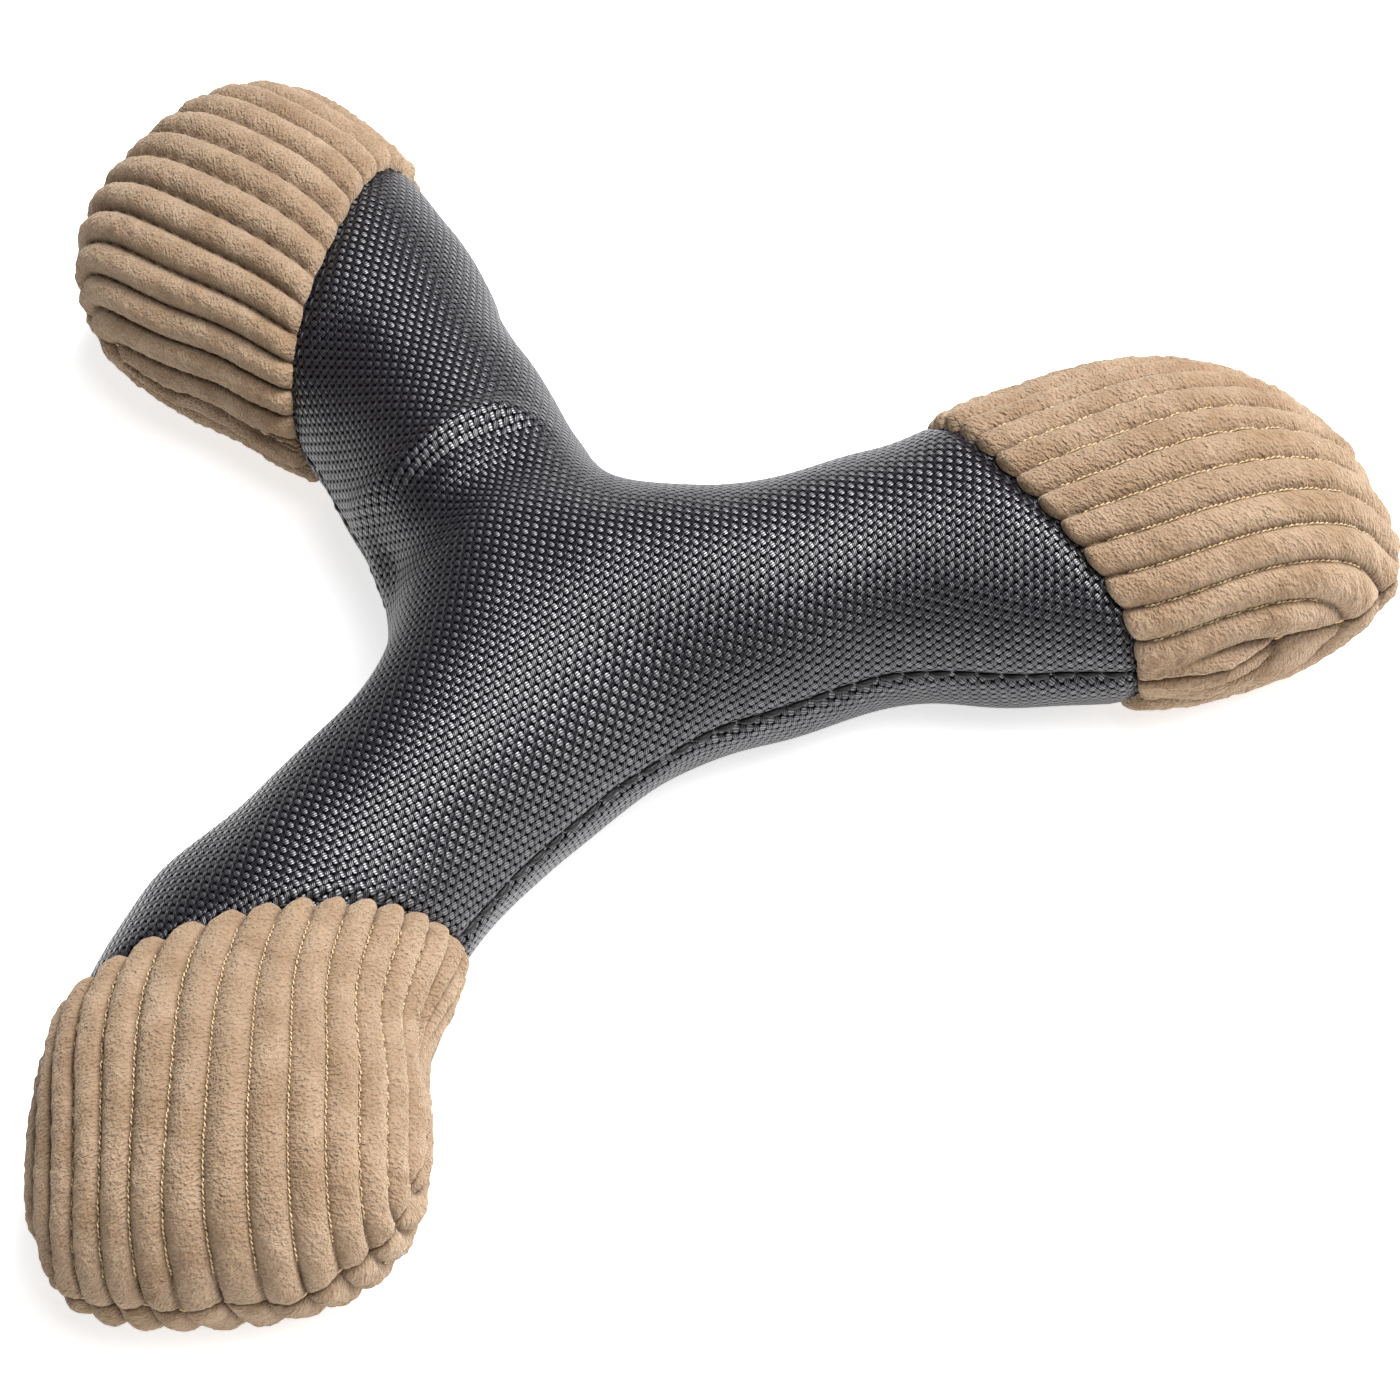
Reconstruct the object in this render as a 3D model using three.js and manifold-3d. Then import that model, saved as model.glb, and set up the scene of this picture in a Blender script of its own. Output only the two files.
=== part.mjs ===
// A stuffed, squeaking dog toy: three arms round a hub, like a pinwheel lying flat.
// A Y-shaped nylon cover holds the hub and the sleeves, and each arm ends in a corduroy cap.
// Millimetres, +Z up, origin at the centre of the hub on the plane of the side seam,
// arm 1 along +X and the other two a third of a turn apart.
import * as THREE from 'three';
import { mergeVertices } from 'three/addons/utils/BufferGeometryUtils.js';
import Module from 'manifold-3d';

const wasm = await Module();
wasm.setup();

// Arms. Widths and thicknesses are those of the stuffed core, half of each,
// and the covers lie outside it.
const ARM_COUNT = 3;
const SLEEVE_LENGTH = 84.5; // hub centre to the middle of the cap seam, along the spine
const CAP_LENGTH = 63; // cap seam to the end of the core
const ARM_TURN = 17; // degrees that the arm leans round
const TURN_START = 56; // along the spine
const TURN_LENGTH = 48;
const CROTCH_RADIUS = 34; // hub centre to the corner between two arms
const CROTCH_TWIST = 6; // degrees
const NECK_BEFORE_SEAM = 22.5; // narrowest place of the sleeve, before the seam
const NECK_HALF_WIDTH = 20.6;
const SEAM_HALF_WIDTH = 25.8;
const CAP_HALF_WIDTH = 30.2;
const HUB_HALF_THICK = 25.2;
const NECK_HALF_THICK = 21.4;
const SEAM_HALF_THICK = 23.6;
const CAP_HALF_THICK = 25.6;
const CAP_SWELL_LENGTH = 26; // over which the cap grows to its full girth
const CAP_TIP_LENGTH = 37; // over which the cap closes
const SEAM_SLANT = 29; // degrees that the cap seam is turned from square
const SECTION_POWER = 2.2; // 2 is an ellipse, more is squarer
const TIP_PLAN_POWER = 3;
const TIP_SIDE_POWER = 2.2;

// Covers and thread
const NYLON_THICK = 1.2;
const CORD_THICK = 2.6; // to the top of the wales
const WALES = 13; // across one panel of a cap
const WALE_DEPTH = 1.2;
const REST_CUT = 0.5; // how deep the wales are flattened where the toy lies
const THREAD = 0.8; // diameter
const CLEARANCE = 0.3;
const FILL_CLEARANCE = 0.6; // stuffing to cover

// Bending place of an arm, where its stuffing meets the hub's
const BEND_AT = 55; // hub centre to the bending axis
const BEND_RADIUS = 26; // of the rounded end that turns in the hub's hollow

// Squeaker: a bulb of two halves, a plug in its mouth and a reed on the plug
const BULB_RADIUS = 20;
const BULB_HALF_HEIGHT = 12;
const BULB_WALL = 1.2;
const BULB_LAP = 3; // how far the dome's skirt covers the cup at rest
const BULB_TRAVEL = 6;
const DOME_RISE = 8; // height of the dome's round part
const CUP_RIM_DROP = 2; // cup's rim below the middle of the bulb
const MOUTH_RADIUS = 4.3;
const COLLAR_HEIGHT = 6;
const PLUG_FLANGE_RADIUS = 6.4;
const PLUG_FLANGE = 1;
const AIR_WAY_RADIUS = 1.7;
const REED_LENGTH = 6.4;
const REED_WIDTH = 3;
const REED_THICK = 0.4;

// Fineness
const SLEEVE_COLUMNS = 12;
const SLEEVE_ROWS = 8;
const CAP_ROWS = 8;
const SPLITS_PER_WALE = 3;
const THREAD_SIDES = 6;
const ROUND_SIDES = 20;
const BEND_SIDES = 48;
const FAR = 400; // reach of the cutting blocks

const { degToRad, smoothstep } = THREE.MathUtils;
const NECK_AT = SLEEVE_LENGTH - NECK_BEFORE_SEAM;
const CORE_LENGTH = SLEEVE_LENGTH + CAP_LENGTH;
const ARM_STEP = (2 * Math.PI) / ARM_COUNT;
const TURN_ANGLE = degToRad(ARM_TURN);
const TURN_RADIUS = TURN_LENGTH / TURN_ANGLE;
const SEAM_OPENING = THREAD + 2 * CLEARANCE;
const EDGE_Z = SEAM_OPENING / 2;
const SEAM_HALF_STEP = EDGE_Z / Math.cos(degToRad(SEAM_SLANT));

// Materials
const finish = (color, roughness) => new THREE.MeshStandardMaterial({ color, roughness, metalness: 0 });
const nylon = finish(0x323034, 0.5);
const corduroy = finish(0xb0967d, 0.95);
const darkThread = finish(0x17161a, 0.6);
const tanThread = finish(0xa98a63, 0.8);
const fibre = finish(0xe9e7e1, 1);
const polythene = finish(0xdedcd2, 0.45);
const reedFilm = finish(0xb9bcc0, 0.3);

// The spine: straight out of the hub, an arc, and straight on
function spine(s) {
  const turn = THREE.MathUtils.clamp((s - TURN_START) / TURN_RADIUS, 0, TURN_ANGLE);
  const before = Math.min(s, TURN_START);
  const after = Math.max(0, s - TURN_START - TURN_LENGTH);
  const ahead = new THREE.Vector2(Math.cos(turn), Math.sin(turn));
  const left = new THREE.Vector2(-ahead.y, ahead.x);
  const place = new THREE.Vector2(
    before + TURN_RADIUS * Math.sin(turn) + after * ahead.x,
    TURN_RADIUS * (1 - Math.cos(turn)) + after * ahead.y,
  );
  return { place, ahead, left };
}

function coreHalfWidth(s) {
  const flare = (SEAM_HALF_WIDTH - NECK_HALF_WIDTH) * smoothstep(s, NECK_AT, SLEEVE_LENGTH);
  const swell = (CAP_HALF_WIDTH - SEAM_HALF_WIDTH) * smoothstep(s - SLEEVE_LENGTH, 0, CAP_SWELL_LENGTH);
  return NECK_HALF_WIDTH + flare + swell;
}

function coreHalfThick(s) {
  const dip = (NECK_HALF_THICK - HUB_HALF_THICK) * smoothstep(s, 0, NECK_AT);
  const flare = (SEAM_HALF_THICK - NECK_HALF_THICK) * smoothstep(s, NECK_AT, SLEEVE_LENGTH);
  const swell = (CAP_HALF_THICK - SEAM_HALF_THICK) * smoothstep(s - SLEEVE_LENGTH, 0, CAP_SWELL_LENGTH);
  return HUB_HALF_THICK + dip + flare + swell;
}

const round = (x, power) => (1 - Math.min(1, x) ** power) ** (1 / power);

// Share of the half-width at column v, which runs from -1 on the arm's right to 1 on its left
const spread = (v) => Math.sign(v) * Math.abs(Math.sin((v * Math.PI) / 2)) ** (2 / SECTION_POWER);

// Edge of the sleeve on one side: a smooth sweep out of the crotch, then along the spine
function sleeveEdge(side, s, grow) {
  const beside = (at) => {
    const { place, left } = spine(at);
    return place.addScaledVector(left, side * (coreHalfWidth(at) + grow));
  };
  if (s >= NECK_AT) return beside(s);
  const angle = (side * ARM_STEP) / 2 + degToRad(CROTCH_TWIST);
  const crotch = new THREE.Vector2(Math.cos(angle), Math.sin(angle)).multiplyScalar(CROTCH_RADIUS + grow);
  const along = new THREE.Vector2(crotch.y, -crotch.x).normalize().multiplyScalar(side);
  const neck = beside(NECK_AT);
  const pull = 0.37 * crotch.distanceTo(neck);
  const sweep = new THREE.CubicBezierCurve(
    crotch,
    crotch.clone().addScaledVector(along, pull),
    neck.clone().addScaledVector(spine(NECK_AT).ahead, -pull),
    neck,
  );
  return sweep.getPoint(s / NECK_AT);
}

// Where the slanted cap seam crosses column v
const seamAt = (v) => SLEEVE_LENGTH - Math.tan(degToRad(SEAM_SLANT)) * SEAM_HALF_WIDTH * spread(v);

// A point of the upper half of the hub and sleeve, at s along the spine.
// grow moves the surface out of the core, and lift is the height of its edge.
function sleevePoint(s, v, grow, lift) {
  const middle = spine(s).place;
  const place = middle.lerp(sleeveEdge(v < 0 ? -1 : 1, s, grow), Math.abs(spread(v)));
  const height = (coreHalfThick(s) + grow - lift) * round(Math.abs(spread(v)), SECTION_POWER);
  return new THREE.Vector3(place.x, place.y, lift + height);
}

// A point of the upper half of the cap. Columns run straight along the cap to the rim,
// as the wales do, and f goes from the seam at 0 to the rim at 1.
function capPoint(f, v, grow, lift, fromSeam) {
  const across = spread(v);
  const tipStart = CORE_LENGTH + grow - CAP_TIP_LENGTH;
  const end = tipStart + CAP_TIP_LENGTH * round(Math.abs(across), TIP_PLAN_POWER);
  const start = seamAt(v) + fromSeam;
  const s = start + (end - start) * Math.sin((f * Math.PI) / 2);
  const closing = Math.max(0, (s - tipStart) / CAP_TIP_LENGTH);
  const share = Math.abs(across) / Math.max(round(closing, TIP_PLAN_POWER), 1e-9);
  const { place, left } = spine(s);
  place.addScaledVector(left, across * (coreHalfWidth(s) + grow));
  const crown = (coreHalfThick(s) + grow - lift) * round(closing, TIP_SIDE_POWER);
  const height = f === 1 ? 0 : crown * round(share, SECTION_POWER);
  return new THREE.Vector3(place.x, place.y, lift + height);
}

// Collects triangles into one closed surface
class Surface {
  corners = [];

  triangle(a, b, c) {
    const apart = Math.min(a.distanceTo(b), b.distanceTo(c), c.distanceTo(a));
    if (apart > 1e-4) this.corners.push(...a, ...b, ...c);
  }

  // A sheet of points [row][column], facing up when rows go out and columns go left
  sheet(rows, facesDown) {
    for (let i = 0; i + 1 < rows.length; i++) {
      const last = rows[i].length - 1;
      for (let j = 0; j < last; j++) {
        const [a, b, c, d] = [rows[i][j], rows[i + 1][j], rows[i + 1][j + 1], rows[i][j + 1]];
        const halves = j < last / 2 ? [[a, b, d], [b, c, d]] : [[a, b, c], [a, c, d]];
        for (const [p, q, r] of halves) facesDown ? this.triangle(p, r, q) : this.triangle(p, q, r);
      }
    }
  }

  // A wall from a sheet's edge, taken anticlockwise from above, to another with fewer points
  wall(edge, other, facesDown) {
    const ratio = (edge.length - 1) / (other.length - 1);
    const put = (p, q, r) => (facesDown ? this.triangle(p, r, q) : this.triangle(p, q, r));
    for (let k = 0; k + 1 < other.length; k++) {
      for (let n = k * ratio; n < (k + 1) * ratio; n++) put(edge[n + 1], edge[n], other[k]);
      put(edge[(k + 1) * ratio], other[k], other[k + 1]);
    }
  }

  geometry() {
    const geometry = new THREE.BufferGeometry();
    geometry.setAttribute('position', new THREE.Float32BufferAttribute(this.corners, 3));
    const merged = mergeVertices(geometry, 1e-4);
    merged.computeVertexNormals();
    return merged;
  }
}

const steps = (count) => Array.from({ length: count + 1 }, (_, i) => i / count);
const turned = (rows, angle) => rows.map((row) => row.map((p) => p.clone().applyAxisAngle(UP, angle)));
const mirrored = (rows) => rows.map((row) => row.map((p) => new THREE.Vector3(p.x, p.y, -p.z)));
const column = (rows, j) => rows.map((row) => row.at(j));
const UP = new THREE.Vector3(0, 0, 1);

function sleeveRows(grow, lift, beforeSeam) {
  return steps(SLEEVE_ROWS).map((t) => steps(SLEEVE_COLUMNS).map((u) => {
    const v = 2 * u - 1;
    return sleevePoint(t * (seamAt(v) - beforeSeam), v, grow, lift);
  }));
}

function capRows(columns, growAt, lift, fromSeam) {
  return steps(CAP_ROWS).map((f) => steps(columns).map((u, j) => (
    capPoint(f, 2 * u - 1, growAt(j), lift, fromSeam)
  )));
}

// Cover panels. Each is made as the upper one, and the lower one is its mirror image.
function nylonPanel(isLower) {
  const surface = new Surface();
  const half = (rows) => (isLower ? mirrored(rows) : rows);
  for (let arm = 0; arm < ARM_COUNT; arm++) {
    const outer = half(turned(sleeveRows(NYLON_THICK, EDGE_Z, SEAM_HALF_STEP), arm * ARM_STEP));
    const inner = half(turned(sleeveRows(0, EDGE_Z, SEAM_HALF_STEP), arm * ARM_STEP));
    surface.sheet(outer, isLower);
    surface.sheet(inner, !isLower);
    surface.wall(column(outer, 0), column(inner, 0), isLower);
    surface.wall(outer.at(-1), inner.at(-1), isLower);
    surface.wall(column(outer, -1).reverse(), column(inner, -1).reverse(), isLower);
  }
  return surface.geometry();
}

function capPanel(isLower) {
  const surface = new Surface();
  const half = (rows) => (isLower ? mirrored(rows) : rows);
  const waleGrow = (j) => CORD_THICK - (j % SPLITS_PER_WALE === 0 ? WALE_DEPTH : 0);
  const outer = half(capRows(WALES * SPLITS_PER_WALE, waleGrow, EDGE_Z, SEAM_HALF_STEP));
  const inner = half(capRows(WALES, () => 0, EDGE_Z, SEAM_HALF_STEP));
  surface.sheet(outer, isLower);
  surface.sheet(inner, !isLower);
  surface.wall(column(outer, 0), column(inner, 0), isLower);
  surface.wall(outer.at(-1), inner.at(-1), isLower);
  surface.wall(column(outer, -1).reverse(), column(inner, -1).reverse(), isLower);
  surface.wall([...outer[0]].reverse(), [...inner[0]].reverse(), isLower);
  return surface.geometry();
}

// Solids for cutting and joining
function solid(geometry) {
  const bare = geometry.clone();
  bare.deleteAttribute('normal');
  bare.deleteAttribute('uv');
  const merged = mergeVertices(bare, 1e-4);
  return new wasm.Manifold(new wasm.Mesh({
    numProp: 3,
    vertProperties: new Float32Array(merged.attributes.position.array),
    triVerts: new Uint32Array(merged.index.array),
  }));
}

function geometryOf(body) {
  const { vertProperties, triVerts } = body.getMesh();
  const geometry = new THREE.BufferGeometry();
  geometry.setAttribute('position', new THREE.BufferAttribute(vertProperties, 3));
  geometry.setIndex(new THREE.BufferAttribute(triVerts, 1));
  geometry.computeVertexNormals();
  return geometry;
}

const block = (x0, x1, z0, z1) => solid(
  new THREE.BoxGeometry(x1 - x0, FAR, z1 - z0).translate((x0 + x1) / 2, 0, (z0 + z1) / 2),
);

// The stuffed core of the hub and of one arm or all of them
function coreSolid(arms) {
  const surface = new Surface();
  const sleeve = sleeveRows(-FILL_CLEARANCE, 0, 0);
  const cap = capRows(SLEEVE_COLUMNS, () => -FILL_CLEARANCE, 0, 0);
  for (let arm = 0; arm < arms; arm++) {
    for (const part of [sleeve, cap]) {
      const rows = turned(part, arm * ARM_STEP);
      surface.sheet(rows, false);
      surface.sheet(mirrored(rows), true);
    }
  }
  if (arms === 1) surface.wall([...sleeve[0]].reverse(), [...mirrored(sleeve)[0]].reverse(), false);
  return solid(surface.geometry());
}

// What belongs to arm 1: everything past the bending axis, and a round end about that axis
function armRegion(radius) {
  const roundEnd = new THREE.CylinderGeometry(radius, radius, FAR, BEND_SIDES).translate(BEND_AT, 0, 0);
  return solid(roundEnd).add(block(BEND_AT, FAR, -FAR, FAR));
}

const armFill = () => geometryOf(coreSolid(1).intersect(armRegion(BEND_RADIUS)));

// Squeaker, round about the hub's axis
const lathe = (points) => new THREE.LatheGeometry(points.map(([r, z]) => new THREE.Vector2(r, z)), ROUND_SIDES)
  .rotateX(Math.PI / 2);

const CUP_RADIUS = BULB_RADIUS - BULB_WALL - CLEARANCE;
const CUP_RIM = -CUP_RIM_DROP;
const SKIRT_EDGE = CUP_RIM - BULB_LAP;
const DOME_SHOULDER = BULB_HALF_HEIGHT - DOME_RISE;
const CUP_FLOOR = -BULB_HALF_HEIGHT;
const QUARTER = steps(5).map((t) => (t * Math.PI) / 2);
const quarterArc = (r, rise, z) => QUARTER.map((a) => [r * Math.cos(a), z + rise * Math.sin(a)]);

function squeakerDome() {
  const outside = quarterArc(BULB_RADIUS, DOME_RISE, DOME_SHOULDER);
  const inside = quarterArc(BULB_RADIUS - BULB_WALL, DOME_RISE - BULB_WALL, DOME_SHOULDER);
  outside.at(-1)[0] = 0;
  inside.at(-1)[0] = 0;
  return lathe([
    ...inside.reverse(),
    [BULB_RADIUS - BULB_WALL, SKIRT_EDGE],
    [BULB_RADIUS, SKIRT_EDGE],
    ...outside,
  ]);
}

function squeakerCup() {
  const bowl = (wall) => steps(4).map((t) => {
    const a = (t * Math.PI) / 2;
    const depth = CUP_RIM - CUP_FLOOR - wall;
    const flat = MOUTH_RADIUS + BULB_WALL + (wall ? 0 : BULB_WALL);
    return [flat + (CUP_RADIUS - wall - flat) * Math.sin(a), CUP_RIM - depth * Math.cos(a)];
  });
  return lathe([
    [MOUTH_RADIUS, CUP_FLOOR],
    ...bowl(0),
    ...bowl(BULB_WALL).reverse(),
    [MOUTH_RADIUS + BULB_WALL, CUP_FLOOR + COLLAR_HEIGHT],
    [MOUTH_RADIUS, CUP_FLOOR + COLLAR_HEIGHT],
    [MOUTH_RADIUS, CUP_FLOOR],
  ]);
}

const PLUG_TOP = CUP_FLOOR + COLLAR_HEIGHT + BULB_WALL;
const PLUG_BOTTOM = CUP_FLOOR - CLEARANCE - PLUG_FLANGE;
const squeakerPlug = () => lathe([
  [AIR_WAY_RADIUS, PLUG_BOTTOM],
  [PLUG_FLANGE_RADIUS, PLUG_BOTTOM],
  [PLUG_FLANGE_RADIUS, PLUG_BOTTOM + PLUG_FLANGE],
  [MOUTH_RADIUS - CLEARANCE, PLUG_BOTTOM + PLUG_FLANGE],
  [MOUTH_RADIUS - CLEARANCE, PLUG_TOP],
  [AIR_WAY_RADIUS, PLUG_TOP],
  [AIR_WAY_RADIUS, PLUG_BOTTOM],
]);

// The reed lies over the air way, with its root on the plug's -X side and a rounded free end
function squeakerReed() {
  const half = REED_WIDTH / 2;
  const root = -REED_LENGTH / 2;
  const tongue = new THREE.Shape()
    .moveTo(root, -half)
    .lineTo(-root - half, -half)
    .absarc(-root - half, 0, half, -Math.PI / 2, Math.PI / 2)
    .lineTo(root, half)
    .closePath();
  return new THREE.ExtrudeGeometry(tongue, { depth: REED_THICK, bevelEnabled: false, curveSegments: 6 })
    .translate(0, 0, PLUG_TOP + CLEARANCE);
}

// Room for the bulb and for its dome's travel
function squeakerPocket() {
  const r = BULB_RADIUS + CLEARANCE;
  const bottom = PLUG_BOTTOM - CLEARANCE;
  const low = SKIRT_EDGE - BULB_TRAVEL - CLEARANCE;
  const top = quarterArc(r, DOME_RISE + CLEARANCE, DOME_SHOULDER);
  top.at(-1)[0] = 0;
  return solid(lathe([[0, bottom], [CUP_RADIUS, bottom], [r, Math.max(low, bottom + 1)], ...top]));
}

function hubFill(isLower) {
  let body = coreSolid(ARM_COUNT);
  for (let arm = 0; arm < ARM_COUNT; arm++) {
    body = body.subtract(armRegion(BEND_RADIUS + CLEARANCE).rotate([0, 0, (arm * 360) / ARM_COUNT]));
  }
  const parting = CLEARANCE / 2;
  const half = isLower ? block(-FAR, FAR, -FAR, -parting) : block(-FAR, FAR, parting, FAR);
  return geometryOf(body.intersect(half).subtract(squeakerPocket()));
}

// The wales of the lower panel are flattened where the toy lies on them
const REST_Z = -(CAP_HALF_THICK + CORD_THICK - REST_CUT);
const restingCap = () => geometryOf(solid(capPanel(true)).subtract(block(0, FAR, REST_Z - FAR, REST_Z)));

// Thread: one unbroken length along a row of points
function thread(points, stepsAlong) {
  const section = new THREE.Shape().absarc(0, 0, THREAD / 2, 0, 2 * Math.PI);
  return new THREE.ExtrudeGeometry(section, {
    steps: stepsAlong,
    curveSegments: THREAD_SIDES / 2,
    extrudePath: new THREE.CatmullRomCurve3(points, false, 'centripetal'),
    bevelEnabled: false,
  });
}

// Side seam from arm 1's left, round the crotch, to the right of the next arm
function sideSeamThread() {
  const run = (side) => steps(SLEEVE_ROWS).map((t) => {
    const place = sleeveEdge(side, t * (seamAt(side) - SEAM_HALF_STEP), NYLON_THICK / 2);
    return new THREE.Vector3(place.x, place.y, 0);
  });
  const next = run(-1).map((p) => p.applyAxisAngle(UP, ARM_STEP));
  return thread([...run(1).reverse(), ...next.slice(1)], 2 * SLEEVE_ROWS + 2);
}

// Rim seam of a cap, from the seam on its right, round the tip, to the seam on its left
function capRimThread() {
  const at = (f, v) => capPoint(f, v, CORD_THICK / 2, 0, SEAM_HALF_STEP).setZ(0);
  const sides = steps(3).slice(0, -1);
  const tip = steps(16).map((u) => at(1, 2 * u - 1));
  return thread([...sides.map((f) => at(f, -1)), ...tip, ...sides.map((f) => at(f, 1)).reverse()], 28);
}

// Cap seam: a ring round the arm, over the top from right to left and back below,
// which stops short of its own start by the width of the thread
function capSeamThread() {
  const half = (s) => steps(SLEEVE_COLUMNS).map((u) => {
    const v = s * (2 * u - 1);
    const p = sleevePoint(seamAt(v), v, NYLON_THICK / 2, 0);
    return p.setZ(s * p.z);
  });
  const ring = [...half(1), ...half(-1).slice(1)];
  const gap = ring.at(-1).clone().lerp(ring.at(-2), (2 * THREAD) / ring.at(-1).distanceTo(ring.at(-2)));
  return thread([...ring.slice(0, -1), gap], 28);
}

// The toy
const toy = new THREE.Group();

function put(parent, name, geometry, material) {
  const mesh = new THREE.Mesh(geometry, material);
  mesh.name = name;
  parent.add(mesh);
}

put(toy, 'nylon_top_panel', nylonPanel(false), nylon);
put(toy, 'nylon_bottom_panel', nylonPanel(true), nylon);
put(toy, 'hub_fill_upper', hubFill(false), fibre);
put(toy, 'hub_fill_lower', hubFill(true), fibre);
put(toy, 'squeaker_dome', squeakerDome(), polythene);
put(toy, 'squeaker_cup', squeakerCup(), polythene);
put(toy, 'squeaker_plug', squeakerPlug(), polythene);
put(toy, 'squeaker_reed', squeakerReed(), reedFilm);

const armPieces = [
  ['arm_fill', armFill(), fibre],
  ['cord_cap_top', capPanel(false), corduroy],
  ['cord_cap_bottom', restingCap(), corduroy],
  ['cap_rim_thread', capRimThread(), tanThread],
  ['cap_seam_thread', capSeamThread(), darkThread],
  ['side_seam_thread', sideSeamThread(), darkThread],
];
for (let arm = 0; arm < ARM_COUNT; arm++) {
  const group = new THREE.Group();
  group.rotation.z = arm * ARM_STEP;
  toy.add(group);
  for (const [name, geometry, material] of armPieces) put(group, `${name}_${arm + 1}`, geometry, material);
}

export default toy;
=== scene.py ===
# %% [markdown]
# A stuffed dog toy with a squeaker: three short arms in a pinwheel, a black woven nylon body and a fat
# tan corduroy cap on the end of each arm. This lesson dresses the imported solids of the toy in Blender.
# The covers are made as the sewing room makes them: a form for the stuffed toy comes first, the cloth is
# pressed out over it by a short cloth simulation, and the ribs, seams and threads are worked into that.

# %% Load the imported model
import math

import bpy
import numpy as np
from mathutils import Matrix


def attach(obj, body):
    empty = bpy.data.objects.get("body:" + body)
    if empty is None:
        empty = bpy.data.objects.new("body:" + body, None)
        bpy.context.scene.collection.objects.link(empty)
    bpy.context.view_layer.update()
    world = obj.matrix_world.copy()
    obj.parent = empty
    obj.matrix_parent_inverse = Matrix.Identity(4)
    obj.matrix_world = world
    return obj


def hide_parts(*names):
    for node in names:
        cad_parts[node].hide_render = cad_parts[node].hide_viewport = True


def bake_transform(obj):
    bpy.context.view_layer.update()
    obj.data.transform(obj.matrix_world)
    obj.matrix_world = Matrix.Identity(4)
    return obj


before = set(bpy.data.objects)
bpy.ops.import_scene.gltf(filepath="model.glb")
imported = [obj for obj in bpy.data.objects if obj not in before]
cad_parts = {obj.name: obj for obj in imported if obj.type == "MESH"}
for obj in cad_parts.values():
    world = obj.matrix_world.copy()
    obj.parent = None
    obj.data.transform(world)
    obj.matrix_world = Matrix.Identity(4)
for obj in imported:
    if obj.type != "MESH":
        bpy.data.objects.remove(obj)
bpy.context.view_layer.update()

MM = 0.001

# %% [markdown]
# The sizes of the sewn form, in millimetres, are the ones the solids were built from, so the covers lie
# where the solids are. A sleeve runs from the hub to a slanted seam, and a cap from there to a round tip.

# %% Sizes of the sewn form
ARMS = 3
SLEEVE_LENGTH = 84.5
CAP_LENGTH = 63.0
TURN_START = 56.0  # how far out an arm starts to lean
TURN_LENGTH = 48.0
CROTCH_RADIUS = 34.0  # from the hub's middle to the side seam between two arms
CROTCH_TWIST = math.radians(6)
NECK_AT = 62.0
NECK_HALF_WIDTH = 20.6
SEAM_HALF_WIDTH = 25.8
CAP_HALF_WIDTH = 30.2
HUB_HALF_THICK = 25.2
NECK_HALF_THICK = 21.4
SEAM_HALF_THICK = 23.6
CAP_HALF_THICK = 25.6
CAP_SWELL_LENGTH = 26.0
CAP_TIP_LENGTH = 37.0
SECTION_POWER = 2.2  # 2 is an ellipse, more is squarer
TIP_PLAN_POWER = 3.0
TIP_SIDE_POWER = 2.2
NYLON_THICK = 1.2
FLOOR_Z = -27.7
WALES = 13
print("an arm is", SLEEVE_LENGTH + CAP_LENGTH, "mm long and", 2 * CAP_HALF_WIDTH, "mm wide at its cap")

# %% [markdown]
# The three arms of the real toy don't lie quite alike, because they are sewn and stuffed by hand. So each
# arm has its own lean, reach, seam and small changes of width, seen from above. They are kept in lists, one
# entry to an arm, and stay inside what the size rule lets cloth stand proud.

# %% How the arms differ
ARM_TURN = np.radians([7.5, 17.7, 21.1])  # how far an arm leans in all
ARM_YAW = np.radians([5.2, -1.5, -2.6])  # how far it is turned round the hub
YAW_FROM, YAW_TO = 25.0, 60.0
ARM_REACH = [-2.0, 2.6, -0.2]
SEAM_SLANT = np.radians([29, 36, 36])
SEAM_SHIFT = [1.5, 2.2, 1.4]
TIP_SKEW = [-8.0, -3.0, -7.0]  # how much longer a cap is on its left
NECK_PULL = 0.37  # how straight a side seam comes to the neck
CROTCH_PULL = [(0.37, 0.37), (0.14, 0.37), (0.37, 0.37)]  # and how straight it leaves the crotch
CROTCH_CHANGE = [-4.2, -4.6, 2.6]
STATIONS = [0, 35, 60, 80, 105, 130]  # distances out, at which a side may be wider or narrower
RIGHT_CHANGE = [[0, 0, -0.6, -0.4, 2.4, 0.2], [0, 5, 0.4, -0.2, 1.2, 2], [0, -0.8, 0.0, 5.2, 4.6, -1.2]]
LEFT_CHANGE = [[0, -0.5, 4, 4.8, 2.6, -6.5], [0, 1.2, 2, 1.6, 1.8, 1.8], [0, 2, 5.4, -1.4, 1.0, 4.5]]
STATION_BLUR = 8
print("arms lean", np.degrees(ARM_TURN).round(1), "degrees")

# %% [markdown]
# Each arm is a patch of two running numbers: s goes out along its middle line and v goes across, from -1
# at its right side seam to 1 at its left. A patch could be drawn by hand, but formulas keep the covers on
# the solids, and the same formulas give every seam its line. First come the middle line and the widths.

# %% The middle line and the widths of an arm
def smoothstep(x, low, high):
    t = np.clip((x - low) / (high - low), 0, 1)
    return t * t * (3 - 2 * t)


def rounding(x, power):
    return (1 - np.minimum(1, np.abs(x)) ** power) ** (1 / power)


def spread(v):
    return np.sign(v) * np.abs(np.sin(v * np.pi / 2)) ** (2 / SECTION_POWER)


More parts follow.
